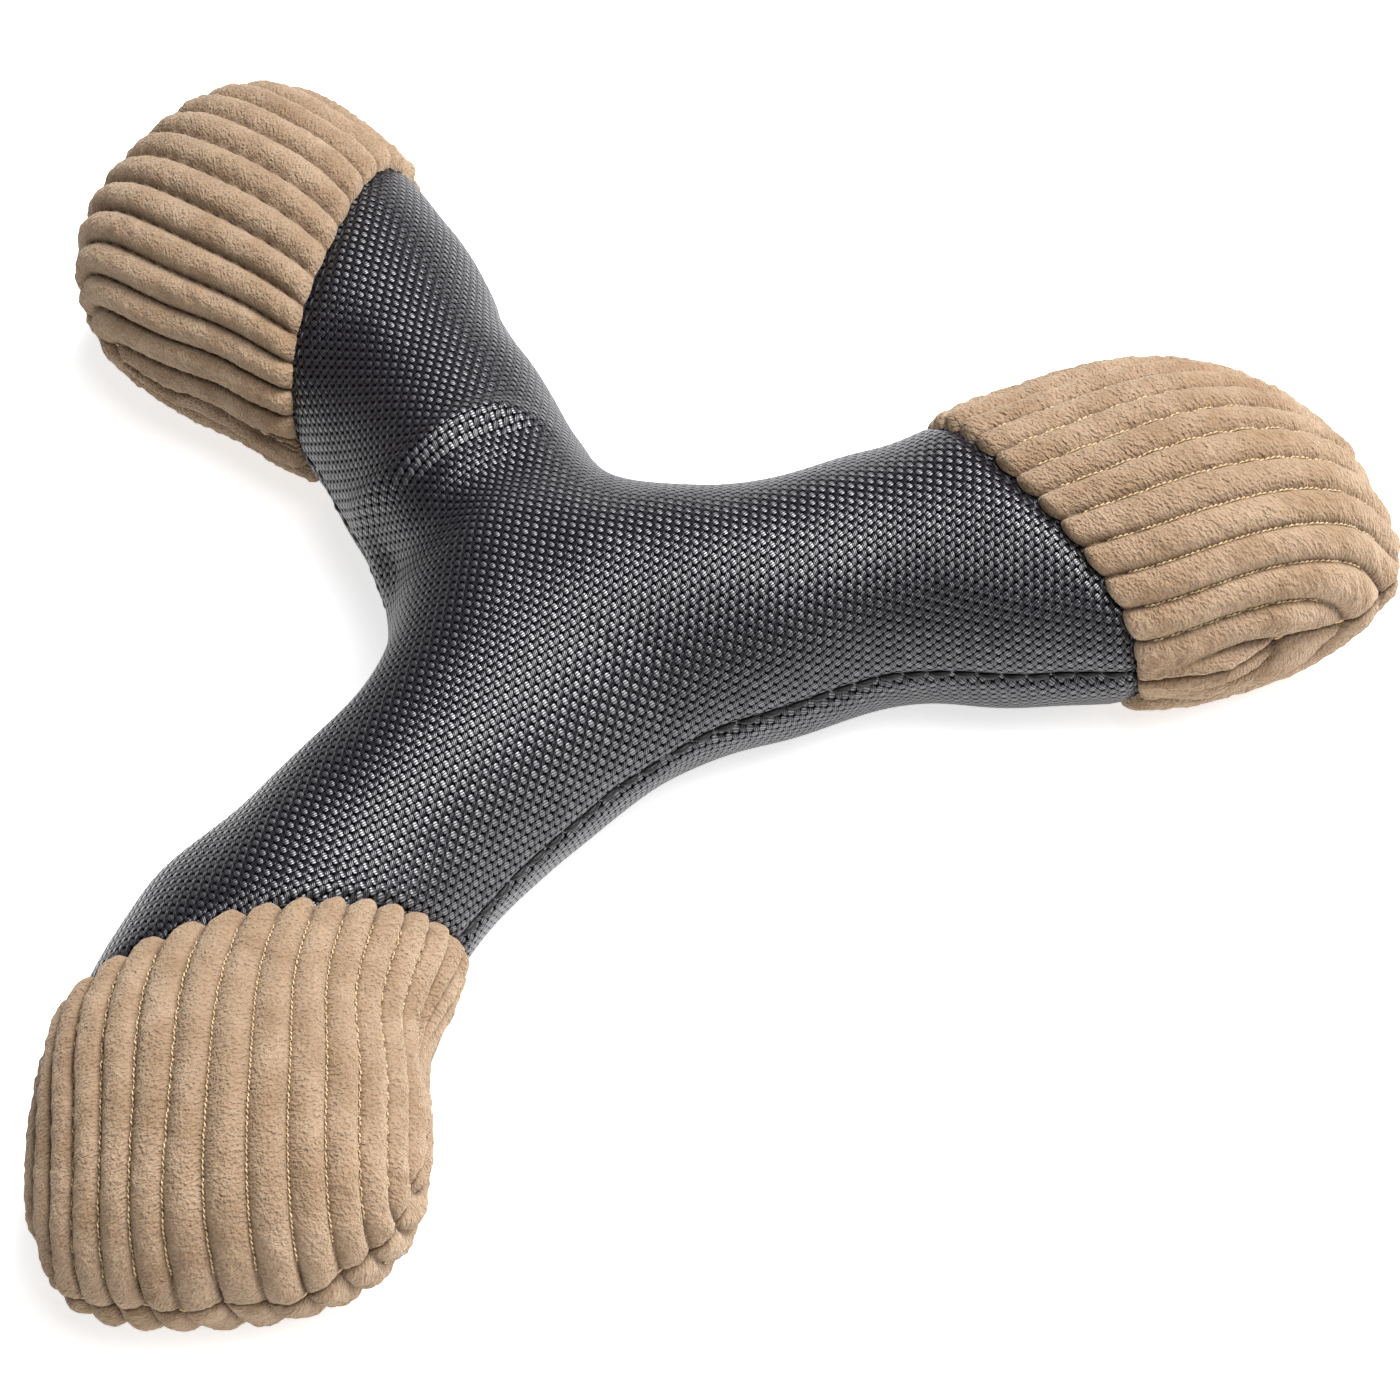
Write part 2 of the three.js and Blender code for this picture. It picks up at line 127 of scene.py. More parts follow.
def spine(arm, s):
    radius = TURN_LENGTH / ARM_TURN[arm]
    turn = np.clip((s - TURN_START) / radius, 0, ARM_TURN[arm])
    before = np.minimum(s, TURN_START)
    after = np.maximum(0, s - TURN_START - TURN_LENGTH)
    ahead = np.stack([np.cos(turn), np.sin(turn)], -1)
    x = before + radius * np.sin(turn) + after * ahead[..., 0]
    y = radius * (1 - np.cos(turn)) + after * ahead[..., 1]
    return np.stack([x, y], -1), ahead


def to_left(ahead):
    return np.stack([-ahead[..., 1], ahead[..., 0]], -1)


def half_width(s):
    neck = NECK_HALF_WIDTH + (SEAM_HALF_WIDTH - NECK_HALF_WIDTH) * smoothstep(s, NECK_AT, SLEEVE_LENGTH)
    return neck + (CAP_HALF_WIDTH - SEAM_HALF_WIDTH) * smoothstep(s - SLEEVE_LENGTH, 0, CAP_SWELL_LENGTH)


def half_thick(s):
    hub = HUB_HALF_THICK + (NECK_HALF_THICK - HUB_HALF_THICK) * smoothstep(s, 0, NECK_AT)
    sleeve = hub + (SEAM_HALF_THICK - NECK_HALF_THICK) * smoothstep(s, NECK_AT, SLEEVE_LENGTH)
    return sleeve + (CAP_HALF_THICK - SEAM_HALF_THICK) * smoothstep(s - SLEEVE_LENGTH, 0, CAP_SWELL_LENGTH)


def side_change(arm, side, s):
    changes = LEFT_CHANGE[arm] if side > 0 else RIGHT_CHANGE[arm]
    return sum(np.interp(s + d * STATION_BLUR, STATIONS, changes) for d in (-1, 0, 1)) / 3


print("half width", half_width(np.array([62.0, 84.5, 110.5])).round(1), "mm at neck, seam and cap")

# %% [markdown]
# The side seam leaves the crotch between two arms square to its radius and runs into the arm's own side: a
# smooth curve with two handles does that. The cap closes at its tip, seen from above and from the side, with
# a roundness for each.

# %% Sleeve and cap as patches
def beside(arm, side, s):
    place, ahead = spine(arm, s)
    reach = half_width(s) + NYLON_THICK + side_change(arm, side, s)
    return place + to_left(ahead) * (side * reach)[..., None]


def sleeve_edge(arm, side, s):
    angle = side * math.pi / ARMS + CROTCH_TWIST
    radius = CROTCH_RADIUS + NYLON_THICK + CROTCH_CHANGE[arm if side > 0 else (arm - 1) % ARMS]
    crotch = np.array([math.cos(angle), math.sin(angle)]) * radius
    along = side * np.array([crotch[1], -crotch[0]]) / np.linalg.norm(crotch)
    neck_s = np.array(NECK_AT)
    neck = beside(arm, side, neck_s)
    chord = np.linalg.norm(neck - crotch)
    leaving = crotch + along * CROTCH_PULL[arm][0 if side < 0 else 1] * chord
    handles = [crotch, leaving, neck - spine(arm, neck_s)[1] * NECK_PULL * chord, neck]
    t = np.clip(s / NECK_AT, 0, 1)[..., None]
    weights = [(1 - t) ** 3, 3 * (1 - t) ** 2 * t, 3 * (1 - t) * t**2, t**3]
    curve = sum(w * h for w, h in zip(weights, handles))
    return np.where((s < NECK_AT)[..., None], curve, beside(arm, side, s))


def seam_at(arm, v):
    return SLEEVE_LENGTH + SEAM_SHIFT[arm] - math.tan(SEAM_SLANT[arm]) * SEAM_HALF_WIDTH * spread(v)


def cap_end(arm, v):
    tip_start = SLEEVE_LENGTH + CAP_LENGTH + ARM_REACH[arm] + NYLON_THICK - CAP_TIP_LENGTH
    tip_length = CAP_TIP_LENGTH * (1 + TIP_SKEW[arm] * spread(v) / CAP_TIP_LENGTH)
    return tip_start, tip_length, tip_start + tip_length * rounding(spread(v), TIP_PLAN_POWER)


def laid_out(arm, xy, z, s):
    angle = 2 * math.pi / ARMS * arm + ARM_YAW[arm] * smoothstep(s, YAW_FROM, YAW_TO)
    c, n = np.cos(angle), np.sin(angle)
    return np.stack([xy[..., 0] * c - xy[..., 1] * n, xy[..., 0] * n + xy[..., 1] * c, z], -1)


def sleeve_form(arm, t, v):
    s = t * seam_at(arm, v)
    across = np.abs(spread(v)) * np.ones_like(s)
    middle = spine(arm, s)[0]
    on_right = (v * np.ones_like(s) < 0)[..., None]
    edge = np.where(on_right, sleeve_edge(arm, -1, s), sleeve_edge(arm, 1, s))
    z = (half_thick(s) + NYLON_THICK) * rounding(across, SECTION_POWER)
    return laid_out(arm, middle + (edge - middle) * across[..., None], z, s)


def cap_form(arm, f, v):
    across = spread(v)
    tip_start, tip_length, end = cap_end(arm, v)
    s = seam_at(arm, v) + (end - seam_at(arm, v)) * np.sin(f * np.pi / 2)
    closing = np.maximum(0, (s - tip_start) / tip_length)
    share = np.abs(across) / np.maximum(rounding(closing, TIP_PLAN_POWER), 1e-9)
    place, ahead = spine(arm, s)
    reach = half_width(s) + NYLON_THICK
    reach = reach + np.where(across < 0, side_change(arm, -1, s), side_change(arm, 1, s))
    xy = place + to_left(ahead) * (across * reach)[..., None]
    height = rounding(closing, TIP_SIDE_POWER) * rounding(share, SECTION_POWER)
    z = np.where(f * np.ones_like(s) >= 1, 0, (half_thick(s) + NYLON_THICK) * height)
    return laid_out(arm, xy, z, s)


for arm in range(ARMS):
    print("cap seam", arm + 1, "lies", seam_at(arm, np.array([1.0, -1.0])).round(1), "mm out")

# %% [markdown]
# The form's coarse net has two columns to each rib of the corduroy, and its panels share their seam
# points, so it is one closed bag. A top panel and its mirror image below make one arm. Each corner of a
# face also gets a label, its panel, row and column, from which every later step finds its place.

# %% The coarse net of the whole toy
COLUMNS = 2 * WALES
SLEEVE_ROWS = 18
CAP_ROWS = 16
PANEL_ROWS = SLEEVE_ROWS + CAP_ROWS
PANELS = 2 * ARMS
LABEL_STEP = 100  # rows kept free for one panel's labels
columns = np.linspace(-1, 1, COLUMNS + 1)[None, :]
net, corner_of = [], {}
index = np.zeros((PANELS, PANEL_ROWS + 1, COLUMNS + 1), int)
for panel in range(PANELS):
    arm, below = panel % ARMS, panel >= ARMS
    sleeve = sleeve_form(arm, np.linspace(0, 1, SLEEVE_ROWS + 1)[:, None], columns)
    cap = cap_form(arm, np.linspace(0, 1, CAP_ROWS + 1)[1:, None], columns)
    grid = np.concatenate([sleeve, cap]) * np.array([1, 1, -1 if below else 1])
    for row in range(PANEL_ROWS + 1):
        for column in range(COLUMNS + 1):
            key = tuple(np.round(grid[row, column], 2) + 0.0)
            if key not in corner_of:
                corner_of[key] = len(net)
                net.append(grid[row, column])
            index[panel, row, column] = corner_of[key]
net = np.array(net)
quads, quad_labels = [], []
for panel in range(PANELS):
    for row in range(PANEL_ROWS):
        for column in range(COLUMNS):
            ring = [(row, column), (row + 1, column), (row + 1, column + 1), (row, column + 1)]
            ring = ring if panel < ARMS else ring[::-1]
            quads.append([int(index[panel, r, c]) for r, c in ring])
            quad_labels.append([(LABEL_STEP * panel + r, c) for r, c in ring])
print("net:", len(net), "points", len(quads), "quads")

# %% [markdown]
# Every piece of the covers is worked out as an array of points in millimetres. These helpers turn such an
# array into a mesh in metres and back, number the faces of a grid, lay a flat pattern on a mesh and measure
# the way along a row of points.

# %% Mesh helpers
def new_mesh(name, points_mm, faces):
    mesh = bpy.data.meshes.new(name)
    mesh.from_pydata((np.asarray(points_mm) * MM).tolist(), [], faces)
    mesh.update()
    mesh.polygons.foreach_set("use_smooth", [True] * len(mesh.polygons))
    return mesh


def new_object(name, mesh):
    piece = bpy.data.objects.new(name, mesh)
    bpy.context.scene.collection.objects.link(piece)
    return piece


def points_of(mesh):
    flat = np.empty(3 * len(mesh.vertices), np.float32)
    mesh.vertices.foreach_get("co", flat)
    return flat.reshape(-1, 3).astype(float) / MM


def corners_of(mesh):
    corners = np.empty(len(mesh.loops), np.int32)
    mesh.loops.foreach_get("vertex_index", corners)
    return corners


def lay_flat(mesh, name, flat_points):
    layer = mesh.uv_layers.new(name=name)
    layer.data.foreach_set("uv", flat_points[corners_of(mesh)].ravel())


def grid_faces(rows, columns, flipped):
    r, c = np.meshgrid(np.arange(rows - 1), np.arange(columns - 1), indexing="ij")
    a = (r * columns + c).ravel()
    ring = np.stack([a, a + columns, a + columns + 1, a + 1], -1)
    return (ring[:, ::-1] if flipped else ring).tolist()


def way_along(points, axis=0):
    steps = np.linalg.norm(np.diff(points, axis=axis), axis=-1)
    start = np.zeros_like(np.take(steps, [0], axis=axis))
    return np.concatenate([start, np.cumsum(steps, axis=axis)], axis=axis)


print("a side seam is", way_along(net[index[0, :, 0]])[-1].round(), "mm long from crotch to tip")

# %% [markdown]
# Stuffing presses the cloth out between its seams. A cloth simulation with pressure inside the bag does
# that: the seam lines are pinned, because a sewn seam hardly stretches, and the panels swell between
# them. The start is a little small, and how far a point may move is capped.

# %% Press the cloth out with a short simulation
START_INSET = 0.9
MOST_SWELL = 3.2
SIM_FRAMES = 20
PRESSURE = 3000
POINT_MASS = 0.01
seam_points = set(index[:, :, 0].ravel()) | set(index[:, :, -1].ravel()) | set(index[:, -1].ravel())
ring_points = set(index[:, SLEEVE_ROWS].ravel())
core_mesh = new_mesh("stuffed_form", net, quads)
core = new_object("stuffed_form", core_mesh)
normals = np.array([v.normal for v in core_mesh.vertices])
swollen = net.copy()
start = net - normals * START_INSET
start[list(seam_points)] = net[list(seam_points)]
core_mesh.vertices.foreach_set("co", (start * MM).ravel())
pins = core.vertex_groups.new(name="seams")
pins.add([int(i) for i in seam_points | ring_points], 1.0, "REPLACE")
cloth = core.modifiers.new("stuffing", "CLOTH")
cloth.settings.quality = 8
cloth.settings.mass = POINT_MASS
cloth.settings.tension_stiffness = 25
cloth.settings.compression_stiffness = 25
cloth.settings.bending_stiffness = 1.5
cloth.settings.use_pressure = True
cloth.settings.uniform_pressure_force = PRESSURE
cloth.settings.vertex_group_mass = "seams"
cloth.settings.effector_weights.gravity = 0
cloth.collision_settings.use_collision = False
for step in range(1, SIM_FRAMES + 1):
    bpy.context.scene.frame_set(step)
pressed = points_of(core.evaluated_get(bpy.context.evaluated_depsgraph_get()).data)
core.modifiers.remove(cloth)
bpy.context.scene.frame_set(1)
moved = pressed - start
far = np.linalg.norm(moved, axis=1, keepdims=True)
swollen = start + moved * np.minimum(1, MOST_SWELL / np.maximum(far, 1e-9))
print("swell mean %.2f most %.2f mm" % (far.mean(), far.max()))

# %% [markdown]
# The three patches meet in the hub on lines that no seam follows. The net is relaxed there, each point
# drawn towards the mean of its neighbours, until it runs smoothly across them. Seam points give less.

# %% Relax the hub
HUB_RELAX_RADIUS = 34.0
HUB_RELAX_STEPS = 14
RELAX_SHARE = 0.5
SEAM_GIVES = 0.3
edges = np.array([e.vertices[:] for e in core_mesh.edges])
count = np.bincount(edges.ravel(), minlength=len(net))[:, None]
share = np.exp(-((np.hypot(net[:, 0], net[:, 1]) / HUB_RELAX_RADIUS) ** 4))[:, None]
share[list(seam_points)] *= SEAM_GIVES
before = swollen.copy()
for step in range(HUB_RELAX_STEPS):
    total = np.zeros_like(swollen)
    np.add.at(total, edges[:, 0], swollen[edges[:, 1]])
    np.add.at(total, edges[:, 1], swollen[edges[:, 0]])
    swollen += RELAX_SHARE * share * (total / count - swollen)
print("hub relaxed by up to %.1f mm" % np.abs(swollen - before).max())

# %% [markdown]
# The net is then subdivided, twice for the nylon and three times for the ribs of the corduroy. The labels
# ride along as a UV map, so each fine point is found again at its row and column of its panel.

# %% Fine nets for nylon and corduroy
NYLON_LEVELS = 2
CORD_LEVELS = 3
core_mesh.vertices.foreach_set("co", (swollen * MM).ravel())
labels = core_mesh.uv_layers.new(name="labels")
labels.data.foreach_set("uv", np.array(quad_labels, float).ravel())
core_mesh.update()


def fine_net(levels):
    subdivide = core.modifiers.new("fine", "SUBSURF")
    subdivide.levels = levels
    subdivide.uv_smooth = "NONE"
    bpy.context.view_layer.update()
    mesh = core.evaluated_get(bpy.context.evaluated_depsgraph_get()).to_mesh()
    spots = points_of(mesh)
    facing = np.empty(3 * len(mesh.vertices), np.float32)
    mesh.vertices.foreach_get("normal", facing)
    uv = np.empty(2 * len(mesh.loops), np.float32)
    mesh.uv_layers["labels"].data.foreach_get("uv", uv)
    uv = uv.reshape(-1, 2)
    panel = np.floor((uv[:, 0] + 0.01) / LABEL_STEP).astype(int)
    fine = 2**levels
    row = np.rint((uv[:, 0] - LABEL_STEP * panel) * fine).astype(int)
    column = np.rint(uv[:, 1] * fine).astype(int)
    table = np.zeros((PANELS, PANEL_ROWS * fine + 1, COLUMNS * fine + 1), int)
    table[panel, row, column] = corners_of(mesh)
    core.evaluated_get(bpy.context.evaluated_depsgraph_get()).to_mesh_clear()
    core.modifiers.remove(subdivide)
    return spots[table], facing.reshape(-1, 3).astype(float)[table]


nylon_spots, nylon_normals = fine_net(NYLON_LEVELS)
cord_spots, cord_normals = fine_net(CORD_LEVELS)
bpy.data.objects.remove(core)
print("fine nets:", nylon_spots.shape, cord_spots.shape)

# %% [markdown]
# Lumps of stuffing, puckers and pile all need a steady randomness. A small value noise gives it: each
# point of a lattice gets a number from a hash of its place, the same on each run, and the rest is blended.

# %% Noise
HASH_STEPS = np.array([374761393, 668265263, 1440662683])
HASH_SEED = 974634777
HASH_MIX = 1274126177


def lumps(points, size, seed=0):
    p = points / size
    low = np.floor(p).astype(np.int64)
    f = p - low
    f = f * f * (3 - 2 * f)
    total = np.zeros(p.shape[:-1])
    for corner in np.ndindex(2, 2, 2):
        cell = low + np.array(corner)
        h = (cell * HASH_STEPS).sum(-1) + seed * HASH_SEED
        h = (h ^ (h >> 13)) * HASH_MIX
        h = ((h ^ (h >> 16)) & 65535) / 32767.5 - 1
        side = np.where(np.array(corner) == 1, f, 1 - f)
        total += h * side.prod(-1)
    return total


print("lumps over the net: %.2f to %.2f" % (lumps(net, 9.0).min(), lumps(net, 9.0).max()))

# %% [markdown]
# Colours are given as the screen shows them, in sRGB hex, and turned to linear light in one place. One
# small function adds a node to a material, sets it up, joins it on and, on a colour ramp, sets its stops.

# %% Colour and node helpers
def colour(hex_code):
    parts = [int(hex_code[i : i + 2], 16) / 255 for i in (1, 3, 5)]
    linear = [p / 12.92 if p <= 0.04045 else ((p + 0.055) / 1.055) ** 2.4 for p in parts]
    return (*linear, 1.0)


def add(tree, kind, links=None, stops=(), **settings):
    node = tree.nodes.new(kind)
    for name, value in settings.items():
        if name.startswith("in_"):
            slot = name[3:]
            node.inputs[int(slot) if slot.isdigit() else slot.replace("_", " ")].default_value = value
        else:
            setattr(node, name, value)
    for slot, source in (links or {}).items():
        tree.links.new(getattr(source, "outputs", [source])[0], node.inputs[slot])
    for k, (position, tone) in enumerate(stops):
        node.color_ramp.elements[k].position = position
        node.color_ramp.elements[k].color = colour(tone)
    return node


def new_material(name):
    material = bpy.data.materials.new(name)
    material.use_nodes = True
    tree = material.node_tree
    return material, tree, tree.nodes["Principled BSDF"]


print("middle grey is", round(colour("#808080")[0], 3), "in linear light")

# %% [markdown]
# The body is heavy ballistic nylon in plain weave: smooth multifilament yarns, dyed black, one over, one
# under. An image of cloth would tear at the seams and blur close up, so the weave is worked out from the
# flat panel's own coordinates, where a step of one is one yarn. A chequer says which of the two yarns
# lies on top, and each yarn's crown falls off to its sides and ends. The yarns' twist slants the crowns.

# %% Ballistic nylon: the crowns of the yarns
WARP_PITCH = 1.11  # mm from yarn to yarn
WEFT_PITCH = 1.45
GRAIN = math.radians(37)
CROWN_HEIGHT = 0.34 * MM
TWIST_SLANT = 0.33
STRANDS = 3.0  # strands that show across a yarn
STRAND_RELIEF = 0.1
WARP_FALL, WARP_END_FALL = 0.8, 0.6
WEFT_FALL, WEFT_END_FALL = 0.75, 0.55
MATHS = "ShaderNodeMath"
nylon, tree, skin = new_material("ballistic_nylon_plain_weave")
flat = add(tree, "ShaderNodeUVMap", uv_map="weave")
yarns = add(tree, "ShaderNodeSeparateXYZ", {"Vector": flat})
warp, weft = yarns.outputs["X"], yarns.outputs["Y"]
warp_cell = add(tree, MATHS, {0: warp}, operation="FLOOR")
weft_cell = add(tree, MATHS, {0: weft}, operation="FLOOR")
chequer = add(tree, MATHS, {0: warp_cell, 1: weft_cell}, operation="ADD")
parity = add(tree, MATHS, {0: chequer}, operation="MODULO", in_1=2.0)
parity = add(tree, MATHS, {0: parity}, operation="ABSOLUTE")
odd = add(tree, MATHS, {0: parity}, operation="GREATER_THAN", in_1=0.5)
warp_part = add(tree, MATHS, {0: warp}, operation="FRACT")
weft_part = add(tree, MATHS, {0: weft}, operation="FRACT")
off_warp = add(tree, MATHS, {0: warp_part}, operation="MULTIPLY_ADD", in_1=2.0, in_2=-1.0)
off_weft = add(tree, MATHS, {0: weft_part}, operation="MULTIPLY_ADD", in_1=2.0, in_2=-1.0)
slanted = add(tree, MATHS, {0: off_weft, 2: off_warp}, operation="MULTIPLY_ADD", in_1=TWIST_SLANT)
warp_sq = add(tree, MATHS, {0: off_warp, 1: off_warp}, operation="MULTIPLY")
weft_sq = add(tree, MATHS, {0: off_weft, 1: off_weft}, operation="MULTIPLY")
slanted_sq = add(tree, MATHS, {0: slanted, 1: slanted}, operation="MULTIPLY")
over_warp = add(tree, MATHS, {0: slanted_sq}, operation="MULTIPLY_ADD", in_1=-WARP_FALL, in_2=1.0)
over_weft = add(tree, MATHS, {0: weft_sq}, operation="MULTIPLY_ADD", in_1=-WEFT_FALL, in_2=1.0)
warp_crown = add(tree, MATHS, {0: weft_sq, 2: over_warp}, operation="MULTIPLY_ADD", in_1=-WARP_END_FALL)
weft_crown = add(tree, MATHS, {0: warp_sq, 2: over_weft}, operation="MULTIPLY_ADD", in_1=-WEFT_END_FALL)
crown = add(tree, "ShaderNodeMix", {"Factor": odd, 2: warp_crown, 3: weft_crown}, data_type="FLOAT")
across_yarn = add(tree, "ShaderNodeMix", {"Factor": odd, 2: slanted, 3: off_weft}, data_type="FLOAT")
turns = add(tree, MATHS, {0: across_yarn}, operation="MULTIPLY", in_1=STRANDS * math.pi)
strand = add(tree, MATHS, {0: turns}, operation="COSINE")
relief = add(tree, MATHS, {0: strand, 2: crown}, operation="MULTIPLY_ADD", in_1=STRAND_RELIEF)
weave_bump = add(tree, "ShaderNodeBump", {"Height": relief}, in_Distance=CROWN_HEIGHT, in_Strength=0.55)
tree.links.new(weave_bump.outputs["Normal"], skin.inputs["Normal"])
print("weave relief:", len(tree.nodes), "nodes, yarns", WARP_PITCH, "by", WEFT_PITCH, "mm")

# %% [markdown]
# Filament yarn is smooth along its run and round across it, so each crown throws a short bright streak:
# the shine is stretched across the yarn that lies on top. The gaps between crowns are dull and get painted
# shade in their colour, the weft yarns get a lighter grey as painted sheen, and some yarns lie a little
# flatter and shine more than others.

# %% Ballistic nylon: tones and shine
cell = add(tree, "ShaderNodeVectorMath", {0: flat}, operation="FLOOR")
chance = add(tree, "ShaderNodeTexWhiteNoise", {"Vector": cell}, noise_dimensions="2D")
# painted sheen: the weft yarns get a lighter grey than the warp, though both are dyed the same black
yarn_tone_with_painted_sheen = add(
    tree, "ShaderNodeMix", {"Factor": odd}, data_type="RGBA", in_6=colour("#161519"), in_7=colour("#1e1d22")
)
# painted shade: the colour goes dark in the gaps between the crowns, where the yarns shade each other
gap = add(tree, "ShaderNodeValToRGB", {"Fac": crown}, ((0.1, "#000000"), (0.75, "#ffffff")))
gap.color_ramp.interpolation = "EASE"
shaded = add(
    tree, "ShaderNodeMix", {6: yarn_tone_with_painted_sheen.outputs[2], 7: gap},
    data_type="RGBA", blend_type="MULTIPLY", in_0=0.9,
)
tree.links.new(shaded.outputs[2], skin.inputs["Base Color"])
across_warp = add(tree, "ShaderNodeTangent", direction_type="UV_MAP", uv_map="weave")
facing = add(tree, "ShaderNodeNewGeometry").outputs["Normal"]
across_weft = add(tree, "ShaderNodeVectorMath", {0: facing, 1: across_warp}, operation="CROSS_PRODUCT")
streak = add(tree, "ShaderNodeMix", {"Factor": odd, 4: across_warp, 5: across_weft}, data_type="VECTOR")
tree.links.new(streak.outputs[1], skin.inputs["Tangent"])
weft_shine = add(tree, MATHS, {0: odd}, operation="MULTIPLY_ADD", in_1=0.75, in_2=0.8)
strand_shine = add(tree, MATHS, {0: strand}, operation="MULTIPLY_ADD", in_1=0.5, in_2=0.6)
yarn_shine = add(tree, MATHS, {0: chance.outputs["Value"]}, operation="MULTIPLY_ADD", in_1=0.4, in_2=0.85)
shine = add(tree, MATHS, {0: gap, 1: weft_shine}, operation="MULTIPLY")
shine = add(tree, MATHS, {0: shine, 1: strand_shine}, operation="MULTIPLY")
shine = add(tree, MATHS, {0: shine, 1: yarn_shine}, operation="MULTIPLY")
tree.links.new(shine.outputs[0], skin.inputs["Specular IOR Level"])
skin.inputs["Anisotropic"].default_value = 0.9
skin.inputs["Roughness"].default_value = 0.38
skin.inputs["IOR"].default_value = 1.53
print(nylon.name, "has", len(tree.nodes), "nodes")

# %% [markdown]
# The caps are wide-wale corduroy with a plush pile: polyester, cut and brushed, so it scatters light and
# has a soft pale sheen where the pile is seen from the side. Its colour shifts in small patches where the
# pile leans another way, and fibres stand together in clumps, mottled and with painted shade in the furrows
# between them. The grooves, and the rims where the upper and lower panels meet, get painted shade too.
# Hair strands would be truer at the edge, but a tone and a bump keep the part light.

# %% Wide-wale corduroy
PILE_PATCH = 9.0 * MM
CLUMP_ACROSS = 0.75
CLUMP_ALONG = 0.6
CLUMP_DEPTH = 1.0 * MM
PILE_TIP = 0.5 * MM
TIP_DEPTH = 0.6 * MM
corduroy, tree, skin = new_material("wide_wale_corduroy_plush")
where = add(tree, "ShaderNodeTexCoord").outputs["Object"]
on_cloth = add(tree, "ShaderNodeUVMap", uv_map="pile_mm")
clump_size = (CLUMP_ACROSS, CLUMP_ALONG, 1.0)
in_clumps = add(tree, "ShaderNodeVectorMath", {0: on_cloth}, operation="DIVIDE", in_1=clump_size)
patches = add(tree, "ShaderNodeTexNoise", {"Vector": where}, in_Scale=1 / PILE_PATCH, in_Detail=3.0)
clumps = add(tree, "ShaderNodeTexNoise", {"Vector": in_clumps}, in_Scale=1.0, in_Detail=1.5, in_Roughness=0.5)
tips = add(tree, "ShaderNodeTexNoise", {"Vector": where}, in_Scale=1 / PILE_TIP, in_Detail=2.0)
# painted shade: this mask darkens the colour down in the grooves and along the rims
painted_groove_shade_mask = add(tree, "ShaderNodeAttribute", attribute_name="painted_groove_shade_mask").outputs["Fac"]
patch_stops = ((0.32, "#826b53"), (0.68, "#97826b"))
# clumps: a mottle of their own, and painted shade in the furrows between them, where their bump is low
clump_stops = ((0.3, "#a68a6c"), (0.6, "#ffffff"))
painted_groove_shade_stops = ((0.05, "#66431f"), (0.55, "#ffffff"))
patch_tone = add(tree, "ShaderNodeValToRGB", {"Fac": patches.outputs["Fac"]}, patch_stops)
clump_mottle_and_painted_shade = add(tree, "ShaderNodeValToRGB", {"Fac": clumps.outputs["Fac"]}, clump_stops)
painted_groove_shade_tone = add(tree, "ShaderNodeValToRGB", {"Fac": painted_groove_shade_mask}, painted_groove_shade_stops)
pile = add(
    tree, "ShaderNodeMix", {6: patch_tone, 7: clump_mottle_and_painted_shade}, data_type="RGBA", blend_type="MULTIPLY", in_0=0.3
)
plush = add(
    tree, "ShaderNodeMix", {6: pile.outputs[2], 7: painted_groove_shade_tone},
    data_type="RGBA", blend_type="MULTIPLY", in_0=1.0,
)
tree.links.new(plush.outputs[2], skin.inputs["Base Color"])
tip_bump = add(
    tree, "ShaderNodeBump", {"Height": tips.outputs["Fac"]}, in_Distance=TIP_DEPTH, in_Strength=0.9
)
clump_bump = add(
    tree, "ShaderNodeBump", {"Height": clumps.outputs["Fac"], "Normal": tip_bump},
    in_Distance=CLUMP_DEPTH, in_Strength=0.7,
)
tree.links.new(clump_bump.outputs["Normal"], skin.inputs["Normal"])
skin.inputs["Roughness"].default_value = 0.95
skin.inputs["IOR"].default_value = 1.5
skin.inputs["Specular IOR Level"].default_value = 0.15
skin.inputs["Sheen Weight"].default_value = 0.35
skin.inputs["Sheen Roughness"].default_value = 0.45
skin.inputs["Sheen Tint"].default_value = colour("#f0dcc0")
print(corduroy.name, "has", len(tree.nodes), "nodes")

# %% [markdown]
# The threads are polyester, spun and twisted from plies, bonded where they sew the body. Black thread sews
# the nylon, a tan one the rims of the caps, and a golden one shows down in the grooves of the corduroy. The
# plies are finer than the picture can show, so they are drawn as half-millimetre flecks.

# %% Threads
PLY = 0.5 * MM
PLY_DEPTH = 0.15 * MM


def thread_material(name, dark, light, roughness, shine):
    material, tree, skin = new_material(name)
    place = add(tree, "ShaderNodeTexCoord").outputs["Object"]
    ply = add(tree, "ShaderNodeTexNoise", {"Vector": place}, in_Scale=1 / PLY, in_Detail=1.0).outputs["Fac"]
    tone = add(tree, "ShaderNodeValToRGB", {"Fac": ply}, ((0.35, dark), (0.65, light)))
    bump = add(tree, "ShaderNodeBump", {"Height": ply}, in_Distance=PLY_DEPTH, in_Strength=0.6)
    tree.links.new(tone.outputs["Color"], skin.inputs["Base Color"])
    tree.links.new(bump.outputs["Normal"], skin.inputs["Normal"])
    skin.inputs["Roughness"].default_value = roughness
    skin.inputs["IOR"].default_value = 1.54
    skin.inputs["Specular IOR Level"].default_value = shine
    return material


dark_thread = thread_material("black_bonded_polyester_thread", "#040404", "#0b0b0c", 0.55, 0.3)
tan_thread = thread_material("tan_polyester_thread", "#a98a5e", "#c9aa78", 0.7, 0.5)
gold_thread = thread_material("golden_ground_thread", "#937a54", "#c6ac80", 0.6, 0.5)
print("threads:", dark_thread.name, tan_thread.name, gold_thread.name)

# %% [markdown]
# Woven cloth keeps its yarns' lengths when it is sewn and stuffed, so the weave has to be laid on the flat
# panel as it was cut. The stuffed upper net is let down on to the table here. It starts from its plan view
# with each row of an arm laid out straight. Blender's unwrap could do this, but it stretches cloth more.

